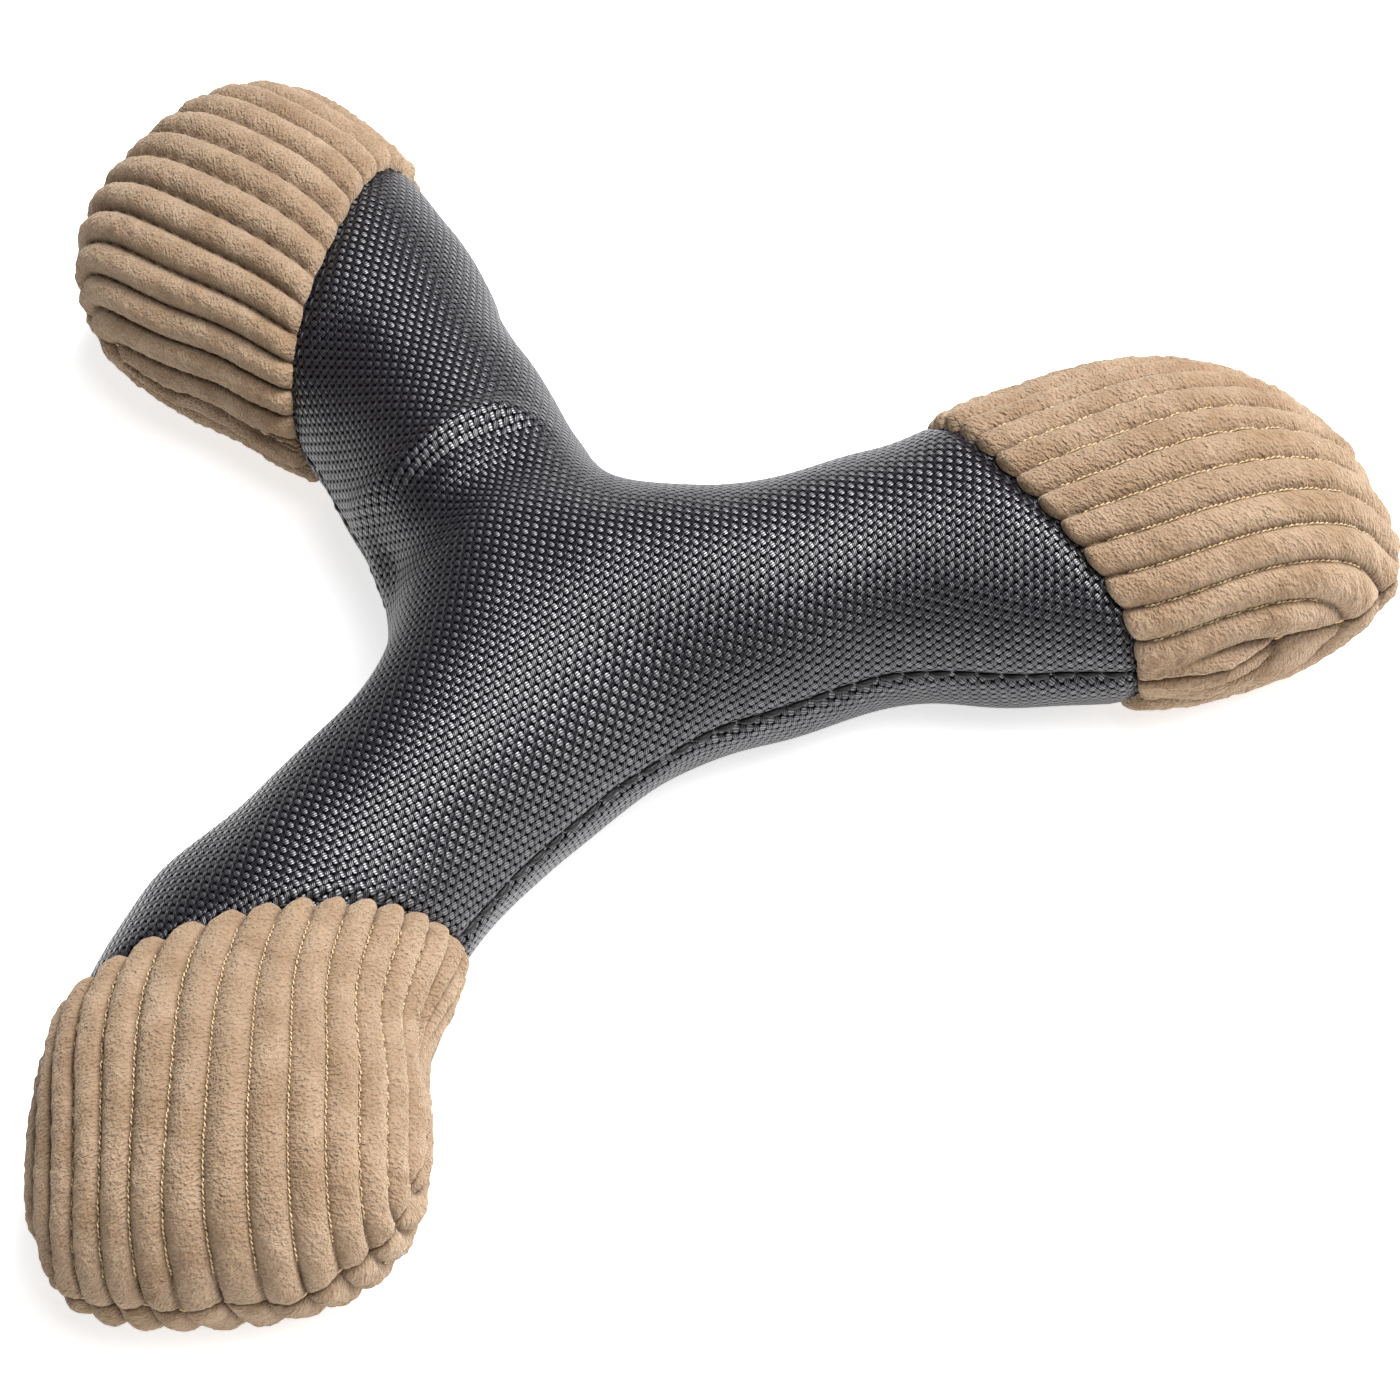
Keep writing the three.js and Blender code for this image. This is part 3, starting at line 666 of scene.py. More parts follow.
# %% The nylon panel, laid out roughly
upper = index[:ARMS, : SLEEVE_ROWS + 1]
pattern = swollen[:, :2].copy()
for arm in range(ARMS):
    for row in range(1, SLEEVE_ROWS + 1):
        line = swollen[upper[arm, row]]
        reach = way_along(line)
        way = (line[-1] - line[0])[:2]
        laid = line[COLUMNS // 2, :2] + np.outer(reach - reach[COLUMNS // 2], way / np.linalg.norm(way))
        opened = smoothstep(row / SLEEVE_ROWS, 0.1, 0.5)
        pattern[upper[arm, row]] = (1 - opened) * line[:, :2] + opened * laid
cells = np.stack([upper[:, :-1, :-1], upper[:, 1:, :-1], upper[:, 1:, 1:], upper[:, :-1, 1:]], -1)
cells = cells.reshape(-1, 4)
triangles = np.concatenate([cells[:, [0, 1, 2]], cells[:, [0, 2, 3]]])
print("pattern:", len(triangles), "triangles")

# %% [markdown]
# Then each small triangle of the stuffed net is laid flat in its true shape, and may only turn. By turns,
# every triangle takes its best turn, and all the points move to where the turned triangles fit together
# best, which is one set of linear equations. The lower panel is cut from the same pattern.

# %% The nylon panel as a flat pattern
FLATTEN_STEPS = 150
first = swollen[triangles[:, 1]] - swollen[triangles[:, 0]]
second = swollen[triangles[:, 2]] - swollen[triangles[:, 0]]
base = np.linalg.norm(first, axis=1)
lean = (first * second).sum(1) / base
height = np.sqrt(np.maximum((second**2).sum(1) - lean**2, 1e-9))
area = base * height / 2
slopes = np.stack([[-height, lean - base], [height, -lean], [np.zeros_like(base), base]])
slopes = slopes.transpose(2, 0, 1) / (2 * area)[:, None, None]
on_panel, local = np.unique(triangles, return_inverse=True)
local = local.reshape(-1, 3)
stiff = np.zeros((len(on_panel), len(on_panel)))
for a in range(3):
    for b in range(3):
        np.add.at(stiff, (local[:, a], local[:, b]), area * (slopes[:, a] * slopes[:, b]).sum(1))
stiff[0, 0] += 1.0
solve = np.linalg.inv(stiff)
for step in range(FLATTEN_STEPS):
    pulled = np.einsum("tia,tib->tab", pattern[triangles], slopes)
    cosine = pulled[:, 0, 0] + pulled[:, 1, 1]
    sine = pulled[:, 1, 0] - pulled[:, 0, 1]
    size = np.maximum(np.hypot(cosine, sine), 1e-9)
    turned = np.stack([[cosine, -sine], [sine, cosine]]).transpose(2, 0, 1) / size[:, None, None]
    pull = np.einsum("tab,tib->tia", turned, slopes) * area[:, None, None]
    total = np.zeros((len(on_panel), 2))
    np.add.at(total, local.ravel(), pull.reshape(-1, 2))
    total[0] += pattern[on_panel[0]]
    pattern[on_panel] = solve @ total
stretch = np.linalg.svd(pulled, compute_uv=False)
folded = (np.linalg.det(pulled) < 0).sum()
print("flat pattern: stretch %.2f to %.2f, %d folded" % (stretch.min(), stretch.max(), folded))

# %% [markdown]
# A fold of slack cloth runs across the root of arm 2. It could be sculpted by hand, but a formula puts it
# on any net: a cubic through five points gives its line, seen from above, and its section is a low crest
# with a narrow and then a wide hollow beside it.

# %% The crease across arm 2
CREASE_LINE = np.array([(-39.1, 24.4), (-31.7, 22.6), (-25.7, 24.8), (-13.8, 32.2), (-2.2, 34.9)])
CREASE_END = np.array([0.0, 35.6])
CREASE_SECTION = [(1.3, 0.0, 2.6), (-0.8, 4.5, 2.4), (-3.0, 13.0, 8.0)]  # rise, how far beside, width


def beside_chord(points):
    run = CREASE_END - CREASE_LINE[0]
    length = np.linalg.norm(run)
    along = (points[..., :2] - CREASE_LINE[0]) @ run / length**2
    return along, (points[..., :2] - CREASE_LINE[0]) @ np.array([-run[1], run[0]]) / length


crease_bend = np.polyfit(*beside_chord(CREASE_LINE), 3)


def crease(points):
    along, off = beside_chord(points)
    off = off - np.polyval(crease_bend, np.clip(along, -0.05, 1.05))
    window = smoothstep(along, -0.15, 0.12) * (1 - smoothstep(along, 0.75, 1.05))
    return window * sum(rise * np.exp(-(((off + to) / width) ** 2)) for rise, to, width in CREASE_SECTION)


print("crease lifts and sinks the cloth by %.1f and %.1f mm" % (crease(net).max(), crease(net).min()))

# %% [markdown]
# The nylon cover is sewn from a Y-shaped panel above and one below. Here each is split into three sectors,
# one to an arm. They meet in the hub.
# The cloth is drawn in along the side seam, puckers a little beside it, and dives under the corduroy.

# %% The shape of the nylon sectors
NYLON_FINE = 2**NYLON_LEVELS
NYLON_ROWS = SLEEVE_ROWS * NYLON_FINE + 1
NYLON_COLUMNS = COLUMNS * NYLON_FINE + 1
SEAM_DEPTH = 1.3
SEAM_GROOVE = 1.5
SEAM_DIVE = [1.6, 0.9, 1.6]
DIVE_LENGTH = 3.5
PUCKER_REACH = 7.0
nylon_v = np.linspace(-1, 1, NYLON_COLUMNS)[None, :]
nylon_t = np.linspace(0, 1, NYLON_ROWS)[:, None]
nylon_shapes = {}
for panel in range(PANELS):
    arm, below = panel % ARMS, panel >= ARMS
    spots = nylon_spots[panel, :NYLON_ROWS]
    outward = nylon_normals[panel, :NYLON_ROWS]
    from_right = way_along(spots, axis=1)
    from_seam = np.minimum(from_right, from_right[:, -1:] - from_right)
    to_end = (1 - nylon_t) * seam_at(arm, nylon_v)
    rise = 0.8 * lumps(spots, 27.0, 3) + 0.3 * lumps(spots, 11.0, 4)
    rise = rise - SEAM_DEPTH * np.exp(-((from_seam / SEAM_GROOVE) ** 2))
    rise = rise + 0.5 * lumps(spots, 6.5, 5) * np.exp(-((from_seam / PUCKER_REACH) ** 2))
    rise = rise - SEAM_DIVE[arm] * (1 - smoothstep(to_end, 0.0, DIVE_LENGTH))
    if panel == 1:
        rise = rise + crease(spots) * smoothstep(from_seam, SEAM_GROOVE, 9.0)
    nylon_shapes[panel] = spots + outward * rise[..., None]
print("nylon sectors:", PANELS, "of", NYLON_ROWS * NYLON_COLUMNS, "points")

# %% [markdown]
# Where sectors meet in the hub no line may show. So the points on those lines get the mean facing of both
# sides, and close to the middle the weave follows one flat plane fitted to the pattern. The pattern itself
# is only as fine as the coarse net, so it is drawn finer to match the sectors.

# %% Smooth joins in the hub
HUB_PLANE_ROWS = 7
HUB_PLANE_FROM, HUB_PLANE_TO = 6.0, 16.0


def grid_normals(shape, flipped):
    facing = np.cross(np.gradient(shape, axis=0), np.gradient(shape, axis=1))
    facing = -facing if flipped else facing
    return facing / np.maximum(np.linalg.norm(facing, axis=-1, keepdims=True), 1e-9)


def finer(grid, times):
    for axis in (0, 1):
        grid = np.moveaxis(grid, axis, 0)
        at = np.linspace(0, len(grid) - 1, (len(grid) - 1) * times + 1)
        low = np.minimum(at.astype(int), len(grid) - 2)
        part = (at - low)[:, None, None]
        grid = np.moveaxis(grid[low] * (1 - part) + grid[low + 1] * part, 0, axis)
    return grid


def join_keys(panel):
    return [(*(spot[:2] + 0.0), panel >= ARMS) for spot in nylon_shapes[panel][0].round(2)]


hub_normals = {}
for panel, shape in nylon_shapes.items():
    for key, facing in zip(join_keys(panel), grid_normals(shape, panel >= ARMS)[0]):
        hub_normals[key] = hub_normals.get(key, 0) + facing
near_hub = np.concatenate([index[arm, :HUB_PLANE_ROWS].ravel() for arm in range(ARMS)])
near_hub = near_hub[np.linalg.norm(swollen[near_hub, :2], axis=1) < HUB_PLANE_TO]
plan = np.column_stack([swollen[near_hub, :2], np.ones(len(near_hub))])
hub_plane = np.linalg.lstsq(plan, pattern[near_hub], rcond=None)[0]
print("joins:", len(hub_normals), "points in the hub share their facing")

# %% [markdown]
# Each sector becomes a mesh with the weave's UV map, counted in yarns along and across the grain. Its weave
# blends from the hub's plane to its own arm's pattern.

# %% The nylon pieces
YARNS_AWAY = 400  # keeps the count of yarns above zero


def arm_axis(arm):
    return np.array([math.cos(2 * math.pi / ARMS * arm), math.sin(2 * math.pi / ARMS * arm)])


def bend_with_arm(piece):
    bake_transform(piece)


for panel, shape in nylon_shapes.items():
    arm, below = panel % ARMS, panel >= ARMS
    flat_xy = finer(pattern[index[arm, : SLEEVE_ROWS + 1]], NYLON_FINE)
    own = smoothstep(np.linalg.norm(shape[..., :2], axis=-1), HUB_PLANE_FROM, HUB_PLANE_TO)[..., None]
    flat_xy = own * flat_xy + (1 - own) * (shape[..., :2] @ hub_plane[:2] + hub_plane[2])
    along_grain = flat_xy[..., 0] * math.cos(GRAIN) + flat_xy[..., 1] * math.sin(GRAIN)
    across_grain = flat_xy[..., 0] * math.sin(GRAIN) - flat_xy[..., 1] * math.cos(GRAIN)
    weave = np.stack([along_grain / WARP_PITCH, across_grain / WEFT_PITCH], -1).reshape(-1, 2) + YARNS_AWAY
    name = f"nylon_{'bottom' if below else 'top'}_{arm + 1}"
    mesh = new_mesh(name, shape.reshape(-1, 3), grid_faces(NYLON_ROWS, NYLON_COLUMNS, below))
    lay_flat(mesh, "weave", weave)
    facing = grid_normals(shape, below)
    facing[0] = [hub_normals[key] for key in join_keys(panel)]
    mesh.normals_split_custom_set_from_vertices(facing.reshape(-1, 3).tolist())
    piece = new_object(name, mesh)
    piece.data.materials.append(nylon)
    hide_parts("nylon_bottom_panel" if below else "nylon_top_panel")
    bend_with_arm(piece)
    print(name, "is", np.ptp(along_grain).round(), "by", np.ptp(across_grain).round(), "mm flat")

# %% [markdown]
# A wale is a rib of pile between two lines of ground thread. Wales run straight and parallel in the flat
# cloth, so they keep their width over the cap and run out over its sides. How many wales a point is from
# the cap's right side, its phase, is worked out from the way round the cap's section, a little skewed.

# %% The wales
CORD_FINE = 2**CORD_LEVELS
CORD_COLUMNS = COLUMNS * CORD_FINE + 1
CORD_ROWS = CAP_ROWS * CORD_FINE + 1
WALE_WIDTH = [6.3, 6.3, 6.05]
WALE_SKEW = [math.tan(math.radians(a)) for a in (5, 6, 8)]
WALE_WANDER = 0.06
WALE_ROUND = 0.62  # 0.5 is a half ellipse, 1 a parabola
cord_v = np.linspace(-1, 1, CORD_COLUMNS)[None, :]
cord_f = np.linspace(0, 1, CORD_ROWS)[:, None]
fine_v = np.linspace(0, 1, 2001)
section_height = CAP_HALF_THICK * rounding(spread(fine_v), SECTION_POWER)
girth = way_along(np.stack([CAP_HALF_WIDTH * spread(fine_v), section_height], -1))


def wale_phase(arm, f, v):
    start, end = seam_at(arm, v), cap_end(arm, v)[2]
    s = start + (end - start) * np.sin(f * np.pi / 2)
    across = np.sign(v) * np.interp(np.abs(v), fine_v, girth)
    skewed = across - WALE_SKEW[arm] * (s - SLEEVE_LENGTH - CAP_LENGTH / 2)
    return WALES / 2 + skewed / WALE_WIDTH[arm]


def wale_profile(phase):
    x = 2 * (phase - np.floor(phase)) - 1
    return (1 - np.abs(x) ** 2.0) ** WALE_ROUND


print("a cap panel is %.1f mm across, %.1f wales" % (2 * girth[-1], 2 * girth[-1] / WALE_WIDTH[0]))

# %% [markdown]
# Each cap panel gets its ribs as real relief, because they make the cap's outline: round over the top,
# narrow deep grooves between, rounded ends that stand over the nylon at the seam, and a rim that is drawn
# in and waves a little where the upper and lower panels meet. Pile gives each rib a fine uneven skin.

# %% The shape of the corduroy caps
GROOVE_AT = -0.7
RIM_AT = -0.9
WALE_RISE = [2.4, 3.0, 2.4]
END_ROUNDING = 2.2
RIM_ROUNDING = 3.2
LOBE = [1.4, 0.6, 2.2]  # how far a wale's end stands over the nylon
LOBE_REACH = 5.0
FOLDS = [2.2, 0.8, 1.2]
FOLD_REACH = 8.0
RIM_WAVE = [2.6, 0.8, 1.4]
RIM_WAVE_REACH = 7.0
WAVE_FROM_SEAM = 8.0
LIP = [(8.0, 0.1), (0.1, 0.1), (0.1, 6.0)]  # how far in from the right and left rims the ribs run flat
cord_panels = {}
for panel in range(PANELS):
    arm, below = panel % ARMS, panel >= ARMS
    spots = cord_spots[panel, SLEEVE_ROWS * CORD_FINE :]
    outward = cord_normals[panel, SLEEVE_ROWS * CORD_FINE :]
    from_start, from_right = way_along(spots), way_along(spots, axis=1)
    from_left = from_right[:, -1:] - from_right
    from_rim = np.minimum(from_start[-1] - from_start, np.minimum(from_right, from_left))
    phase = wale_phase(arm, cord_f, cord_v) + WALE_WANDER * lumps(spots, 18.0, 7)
    plain = np.minimum(smoothstep(from_right, 0, LIP[arm][0]), smoothstep(from_left, 0, LIP[arm][1]))
    rib = 1 - (1 - wale_profile(phase)) * plain
    ends = rounding(1 - np.minimum(1, from_start / END_ROUNDING), 2)
    rims = rounding(1 - np.minimum(1, from_rim / RIM_ROUNDING), 2)
    rise = RIM_AT + (GROOVE_AT + WALE_RISE[arm] * rib - RIM_AT) * np.minimum(ends, rims)
    rise = rise + 0.9 * lumps(spots, 24.0, 8) * rims
    rise = rise + FOLDS[arm] * lumps(spots, 9.0, 9) * np.exp(-((from_rim / FOLD_REACH) ** 2)) * ends
    clumps_at = np.stack([from_right, 1.4 * from_start, np.full_like(rib, 40.0 * panel)], -1)
    rise = rise + (0.25 * lumps(clumps_at, 1.8, 10) + 0.2 * lumps(spots, 0.9, 11)) * (0.3 + 0.7 * rib)
    back = spots[0] - spots[4]
    back = back / np.linalg.norm(back, axis=-1, keepdims=True)
    lobes = LOBE[arm] * (rib - 0.35) * np.exp(-((from_start / LOBE_REACH) ** 2))
    shape = spots + outward * rise[..., None] + back[None] * lobes[..., None]
    wave = RIM_WAVE[arm] * lumps(spots * [1, 1, 0], 13.0, 21) * np.exp(-((from_rim / RIM_WAVE_REACH) ** 2))
    shape[..., 2] += wave * smoothstep(from_start, 0, WAVE_FROM_SEAM)
    if below:
        shape[..., 2] = np.maximum(shape[..., 2], FLOOR_Z)
    # the tone entry is the mask for the painted shade in the grooves and along the rims
    cord_panels[panel] = dict(
        shape=shape, outward=outward, phase=phase, from_rim=from_rim, tone=rib * rims,
        pile_mm=np.stack([from_right, from_start], -1).reshape(-1, 2),
    )
print("cap panels:", PANELS, "of", CORD_ROWS * CORD_COLUMNS, "points")

# %% [markdown]
# The panels become meshes that carry two things for the material: how high on its rib and how near the rim
# each point lies, which the material turns into painted shade down in the grooves and along the rims, and
# the way across and along the cloth in millimetres, for the clumps of pile.

# %% The corduroy pieces
for panel, sewn in cord_panels.items():
    arm, below = panel % ARMS, panel >= ARMS
    name = f"corduroy_cap_{'bottom' if below else 'top'}_{arm + 1}"
    mesh = new_mesh(name, sewn["shape"].reshape(-1, 3), grid_faces(CORD_ROWS, CORD_COLUMNS, below))
    # the painted groove and rim shade goes to the material as a point attribute
    painted_groove_shade_mask = mesh.attributes.new("painted_groove_shade_mask", "FLOAT", "POINT")
    painted_groove_shade_mask.data.foreach_set("value", sewn["tone"].ravel().astype(np.float32))
    lay_flat(mesh, "pile_mm", sewn["pile_mm"] + 100.0 * panel)
    piece = new_object(name, mesh)
    piece.data.materials.append(corduroy)
    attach(piece, f"arm_{arm + 1}")
    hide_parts(f"cord_cap_{'bottom' if below else 'top'}_{arm + 1}")
    print(name, "tops out at %.1f mm" % np.abs(sewn["shape"][..., 2]).max())

# %% [markdown]
# Threads are small bent tubes. A lockstitch shows as a row of short lengths that rise out of one needle
# hole and go down in the next. A curve with a bevel could do it, but a seam then is many objects. Here one
# helper bends a tube along points, one joins tubes to one mesh, and one lays stitches on a line.

# %% Thread helpers
STITCH_BEND = np.linspace(0, 1, 7)
STITCH_SIDES = 8


def tube(points, radius, sides):
    points = np.asarray(points, float)
    tangent = np.gradient(points, axis=0)
    tangent /= np.maximum(np.linalg.norm(tangent, axis=1, keepdims=True), 1e-9)
    guide = np.where(np.abs(tangent[:, 2:3]) > 0.9, np.array([[1.0, 0, 0]]), np.array([[0, 0, 1.0]]))
    across = np.cross(tangent, guide)
    across /= np.linalg.norm(across, axis=1, keepdims=True)
    up = np.cross(across, tangent)
    turn = np.linspace(0, 2 * np.pi, sides, endpoint=False)
    ring = np.cos(turn)[None, :, None] * across[:, None] + np.sin(turn)[None, :, None] * up[:, None]
    spots = points[:, None] + ring * np.asarray(radius)[:, None, None]
    faces = []
    for r in range(len(points) - 1):
        for k in range(sides):
            n = (k + 1) % sides
            faces.append([r * sides + k, r * sides + n, (r + 1) * sides + n, (r + 1) * sides + k])
    faces.append(list(range(sides))[::-1])
    faces.append([(len(points) - 1) * sides + k for k in range(sides)])
    return spots.reshape(-1, 3), faces


def thread_piece(name, parts, material):
    spots, faces, start = [], [], 0
    for part_spots, part_faces in parts:
        spots.append(part_spots)
        faces += [[i + start for i in f] for f in part_faces]
        start += len(part_spots)
    piece = new_object(name, new_mesh(name, np.concatenate(spots), faces))
    piece.data.materials.append(material)
    return piece


def line_at(line, arcs, distance):
    return np.stack([np.interp(distance, arcs, line[:, k]) for k in range(3)], -1)


def stitches(line, outward, pitch, length, thread, lift, sink):
    arcs = way_along(line)
    parts = []
    count = int(arcs[-1] / pitch)
    gap = (arcs[-1] - (count - 1) * pitch - length) / 2
    for k in range(count):
        distance = gap + k * pitch + STITCH_BEND * length
        middle = line_at(line, arcs, distance)
        out = line_at(outward, arcs, distance)
        out /= np.linalg.norm(out, axis=1, keepdims=True)
        arch = np.sin(np.pi * STITCH_BEND) ** 0.6
        swell = thread / 2 * (0.55 + 0.45 * np.sin(np.pi * STITCH_BEND) ** 0.5)
        height = lift * arch - sink * (1 - arch)
        parts.append(tube(middle + out * height[:, None], swell, STITCH_SIDES))
    return parts


print("a stitch has", len(STITCH_BEND) * STITCH_SIDES, "points")

# %% [markdown]
# The side seam is a coarse lockstitch in black thread. Each arm carries the runs on its own two sides, from
# the hub out to its cap. The ring that sews a cap to its sleeve lies down in the corner under the wales'
# ends, and a tan thread closes the cap round its rim.

# %% Side seams, cap seams and rims
SIDE_STITCH = dict(pitch=4.4, length=3.9, thread=1.3, lift=0.55, sink=0.4)
RING_STITCH = dict(pitch=3.4, length=2.6, thread=0.7, lift=0.1, sink=0.5)
RIM_STITCH = dict(pitch=3.8, length=3.0, thread=0.7, lift=0.3, sink=0.4)
RING_ROW = NYLON_ROWS - 2


def round_the_arm(upper_row, lower_row):
    return np.concatenate([upper_row, lower_row[-2::-1]])


def round_the_rim(grid):
    return np.concatenate([grid[4:, 0], grid[-1, 1:-1], grid[:3:-1, -1]])


for arm in range(ARMS):
    runs = []
    for column in (0, NYLON_COLUMNS - 1):
        line = nylon_shapes[arm][:RING_ROW, column]
        runs += stitches(line, nylon_normals[arm, :RING_ROW, column], **SIDE_STITCH)
    piece = thread_piece(f"side_stitches_{arm + 1}", runs, dark_thread)
    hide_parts(f"side_seam_thread_{arm + 1}", f"side_seam_thread_{(arm + 2) % ARMS + 1}")
    bend_with_arm(piece)
    ring = round_the_arm(nylon_shapes[arm][RING_ROW], nylon_shapes[arm + ARMS][RING_ROW])
    ring_out = round_the_arm(nylon_normals[arm, RING_ROW], nylon_normals[arm + ARMS, RING_ROW])
    ring_parts = stitches(ring, ring_out, **RING_STITCH)
    piece = thread_piece(f"cap_seam_stitches_{arm + 1}", ring_parts, dark_thread)
    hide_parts(f"cap_seam_thread_{arm + 1}")
    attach(piece, f"arm_{arm + 1}")
    rim, rim_out = (round_the_rim(cord_panels[arm][key]) for key in ("shape", "outward"))
    rim_parts = stitches(rim, rim_out, **RIM_STITCH)
    piece = thread_piece(f"cap_rim_stitches_{arm + 1}", rim_parts, tan_thread)
    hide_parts(f"cap_rim_thread_{arm + 1}")
    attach(piece, f"arm_{arm + 1}")
    print("arm", arm + 1, "stitches:", len(runs), "side", len(ring_parts), "ring", len(rim_parts), "rim")

# %% [markdown]
# Down in each groove a golden ground thread shows between the ribs as a row of small slanted stitches. They
# could be dots in the material, but real thread catches the light as it runs. The groove's own line is
# found where the phase is a whole number, and one tube runs along it, plump in each stitch and thin between.

# %% The lines of the grooves
GOLD_FROM_RIM = 8.0
GOLD_FROM_END = 6  # rows of the net
SHORTEST_RUN = 20


def groove_line(sewn, groove):
    line, out = [], []
    for row in range(GOLD_FROM_END, CORD_ROWS - GOLD_FROM_END):
        across = sewn["phase"][row]
        hits = np.nonzero((across[:-1] - groove) * (across[1:] - groove) <= 0)[0]
        hits = hits[sewn["from_rim"][row, hits] > GOLD_FROM_RIM]
        if len(hits):
            k = hits[0]
            part = (groove - across[k]) / (across[k + 1] - across[k] + 1e-12)
            line.append(sewn["shape"][row, k] * (1 - part) + sewn["shape"][row, k + 1] * part)
            out.append(sewn["outward"][row, k])
        elif len(line) > SHORTEST_RUN:
            break
        else:
            line, out = [], []
    return np.array(line), np.array(out)


print("middle groove of cap 1 is", len(groove_line(cord_panels[0], WALES // 2)[0]), "rows long")

# %% [markdown]
# Each cap panel's threads are one piece that rides on its arm, as the corduroy does.

# %% Golden thread in the grooves
GOLD_STITCH = 1.05
GOLD_SLANT = 0.16
GOLD_THREAD = 0.38
GOLD_STEPS = 5  # points to a stitch
GOLD_SIDES = 5
GOLD_LIFT = [0.2, -0.3, 0.3]  # above the groove's floor
for panel, sewn in cord_panels.items():
    arm, below = panel % ARMS, panel >= ARMS
    parts = []
    for groove in range(-2, WALES + 3):
        line, out = groove_line(sewn, groove)
        if len(line) < SHORTEST_RUN:
            continue
        arcs = way_along(line)
        at = np.arange(0, arcs[-1], GOLD_STITCH / GOLD_STEPS)
        middle, up = line_at(line, arcs, at), line_at(out, arcs, at)
        aside = np.cross(up, np.gradient(middle, axis=0))
        aside /= np.linalg.norm(aside, axis=1, keepdims=True)
        through = at / GOLD_STITCH % 1
        swing = GOLD_SLANT * (2 * through - 1)
        plump = 0.15 + 0.85 * np.sin(np.pi * through)
        spots = middle + up * GOLD_LIFT[arm] + aside * swing[:, None]
        parts.append(tube(spots, GOLD_THREAD / 2 * plump, GOLD_SIDES))
    name = f"groove_threads_{'bottom' if below else 'top'}_{arm + 1}"
    piece = thread_piece(name, parts, gold_thread)
    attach(piece, f"arm_{arm + 1}")
    print(name, "has", len(parts), "threads")

# %% [markdown]
# Inside lies polyester fibre stuffing: crimped hollow fibre, blown in loose, so it is white, matt and
# cloudy. Nothing of it shows.

# %% Fibre fill
FIBRE_TUFT = 2.0 * MM
FIBRE_DEPTH = 0.8 * MM
fibre, tree, skin = new_material("polyester_fibre_fill")
where = add(tree, "ShaderNodeTexCoord").outputs["Object"]
tufts = add(tree, "ShaderNodeTexNoise", {"Vector": where}, in_Scale=1 / FIBRE_TUFT, in_Detail=4.0)
tone = add(tree, "ShaderNodeValToRGB", {"Fac": tufts.outputs["Fac"]}, ((0, "#d9d6cf"), (1, "#f6f4ef")))
bump = add(tree, "ShaderNodeBump", {"Height": tufts.outputs["Fac"]}, in_Distance=FIBRE_DEPTH, in_Strength=0.8)
tree.links.new(tone.outputs["Color"], skin.inputs["Base Color"])
tree.links.new(bump.outputs["Normal"], skin.inputs["Normal"])
skin.inputs["Roughness"].default_value = 0.95
skin.inputs["IOR"].default_value = 1.57
print(fibre.name, "has", len(tree.nodes), "nodes")

# %% [markdown]
# An arm's stuffing is its own cover drawn in a few millimetres, with a lumpy skin: rings of points from the
# fine net, closed by a fan at each end. It starts past the stretch where the arm bends.

# %% Stuffing of the arms
STUFFING_INSET = 4.0
STUFFING_FROM = 62.0
STUFFING_LUMP = 0.8
LUMP_SIZE = 7.0
ROW_STEP, COLUMN_STEP = 3, 4
for arm in range(ARMS):
    top = nylon_spots[arm] - nylon_normals[arm] * STUFFING_INSET
    bottom = nylon_spots[arm + ARMS] - nylon_normals[arm + ARMS] * STUFFING_INSET
    rings = []
    for row in range(0, PANEL_ROWS * NYLON_FINE + 1, ROW_STEP):
        ring = np.concatenate([top[row, ::COLUMN_STEP], bottom[row, -1 - COLUMN_STEP : 0 : -COLUMN_STEP]])
        if (ring[:, :2] @ arm_axis(arm)).min() > STUFFING_FROM:
            rings.append(ring + STUFFING_LUMP * lumps(ring, LUMP_SIZE, 12)[:, None])
    sides = len(rings[0])
    spots = np.concatenate(rings + [rings[0].mean(0)[None], rings[-1].mean(0)[None]])
    faces = []
    for r in range(len(rings) - 1):
        for k in range(sides):
            n = (k + 1) % sides
            faces.append([r * sides + k, (r + 1) * sides + k, (r + 1) * sides + n, r * sides + n])
    last = (len(rings) - 1) * sides
    for k in range(sides):
        n = (k + 1) % sides
        faces.append([len(spots) - 2, k, n])
        faces.append([len(spots) - 1, last + n, last + k])
    piece = new_object(f"arm_stuffing_{arm + 1}", new_mesh(f"arm_stuffing_{arm + 1}", spots, faces))
    piece.data.materials.append(fibre)
    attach(piece, f"arm_{arm + 1}")
    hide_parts(f"arm_fill_{arm + 1}")
    print(piece.name, "has", len(rings), "rings")

# %% [markdown]
# The hub's stuffing lies in two halves round the squeaker. Their solids have the pocket already, so a copy
# is remeshed evenly, drawn in well below the nylon on its outside and a little round the pocket.

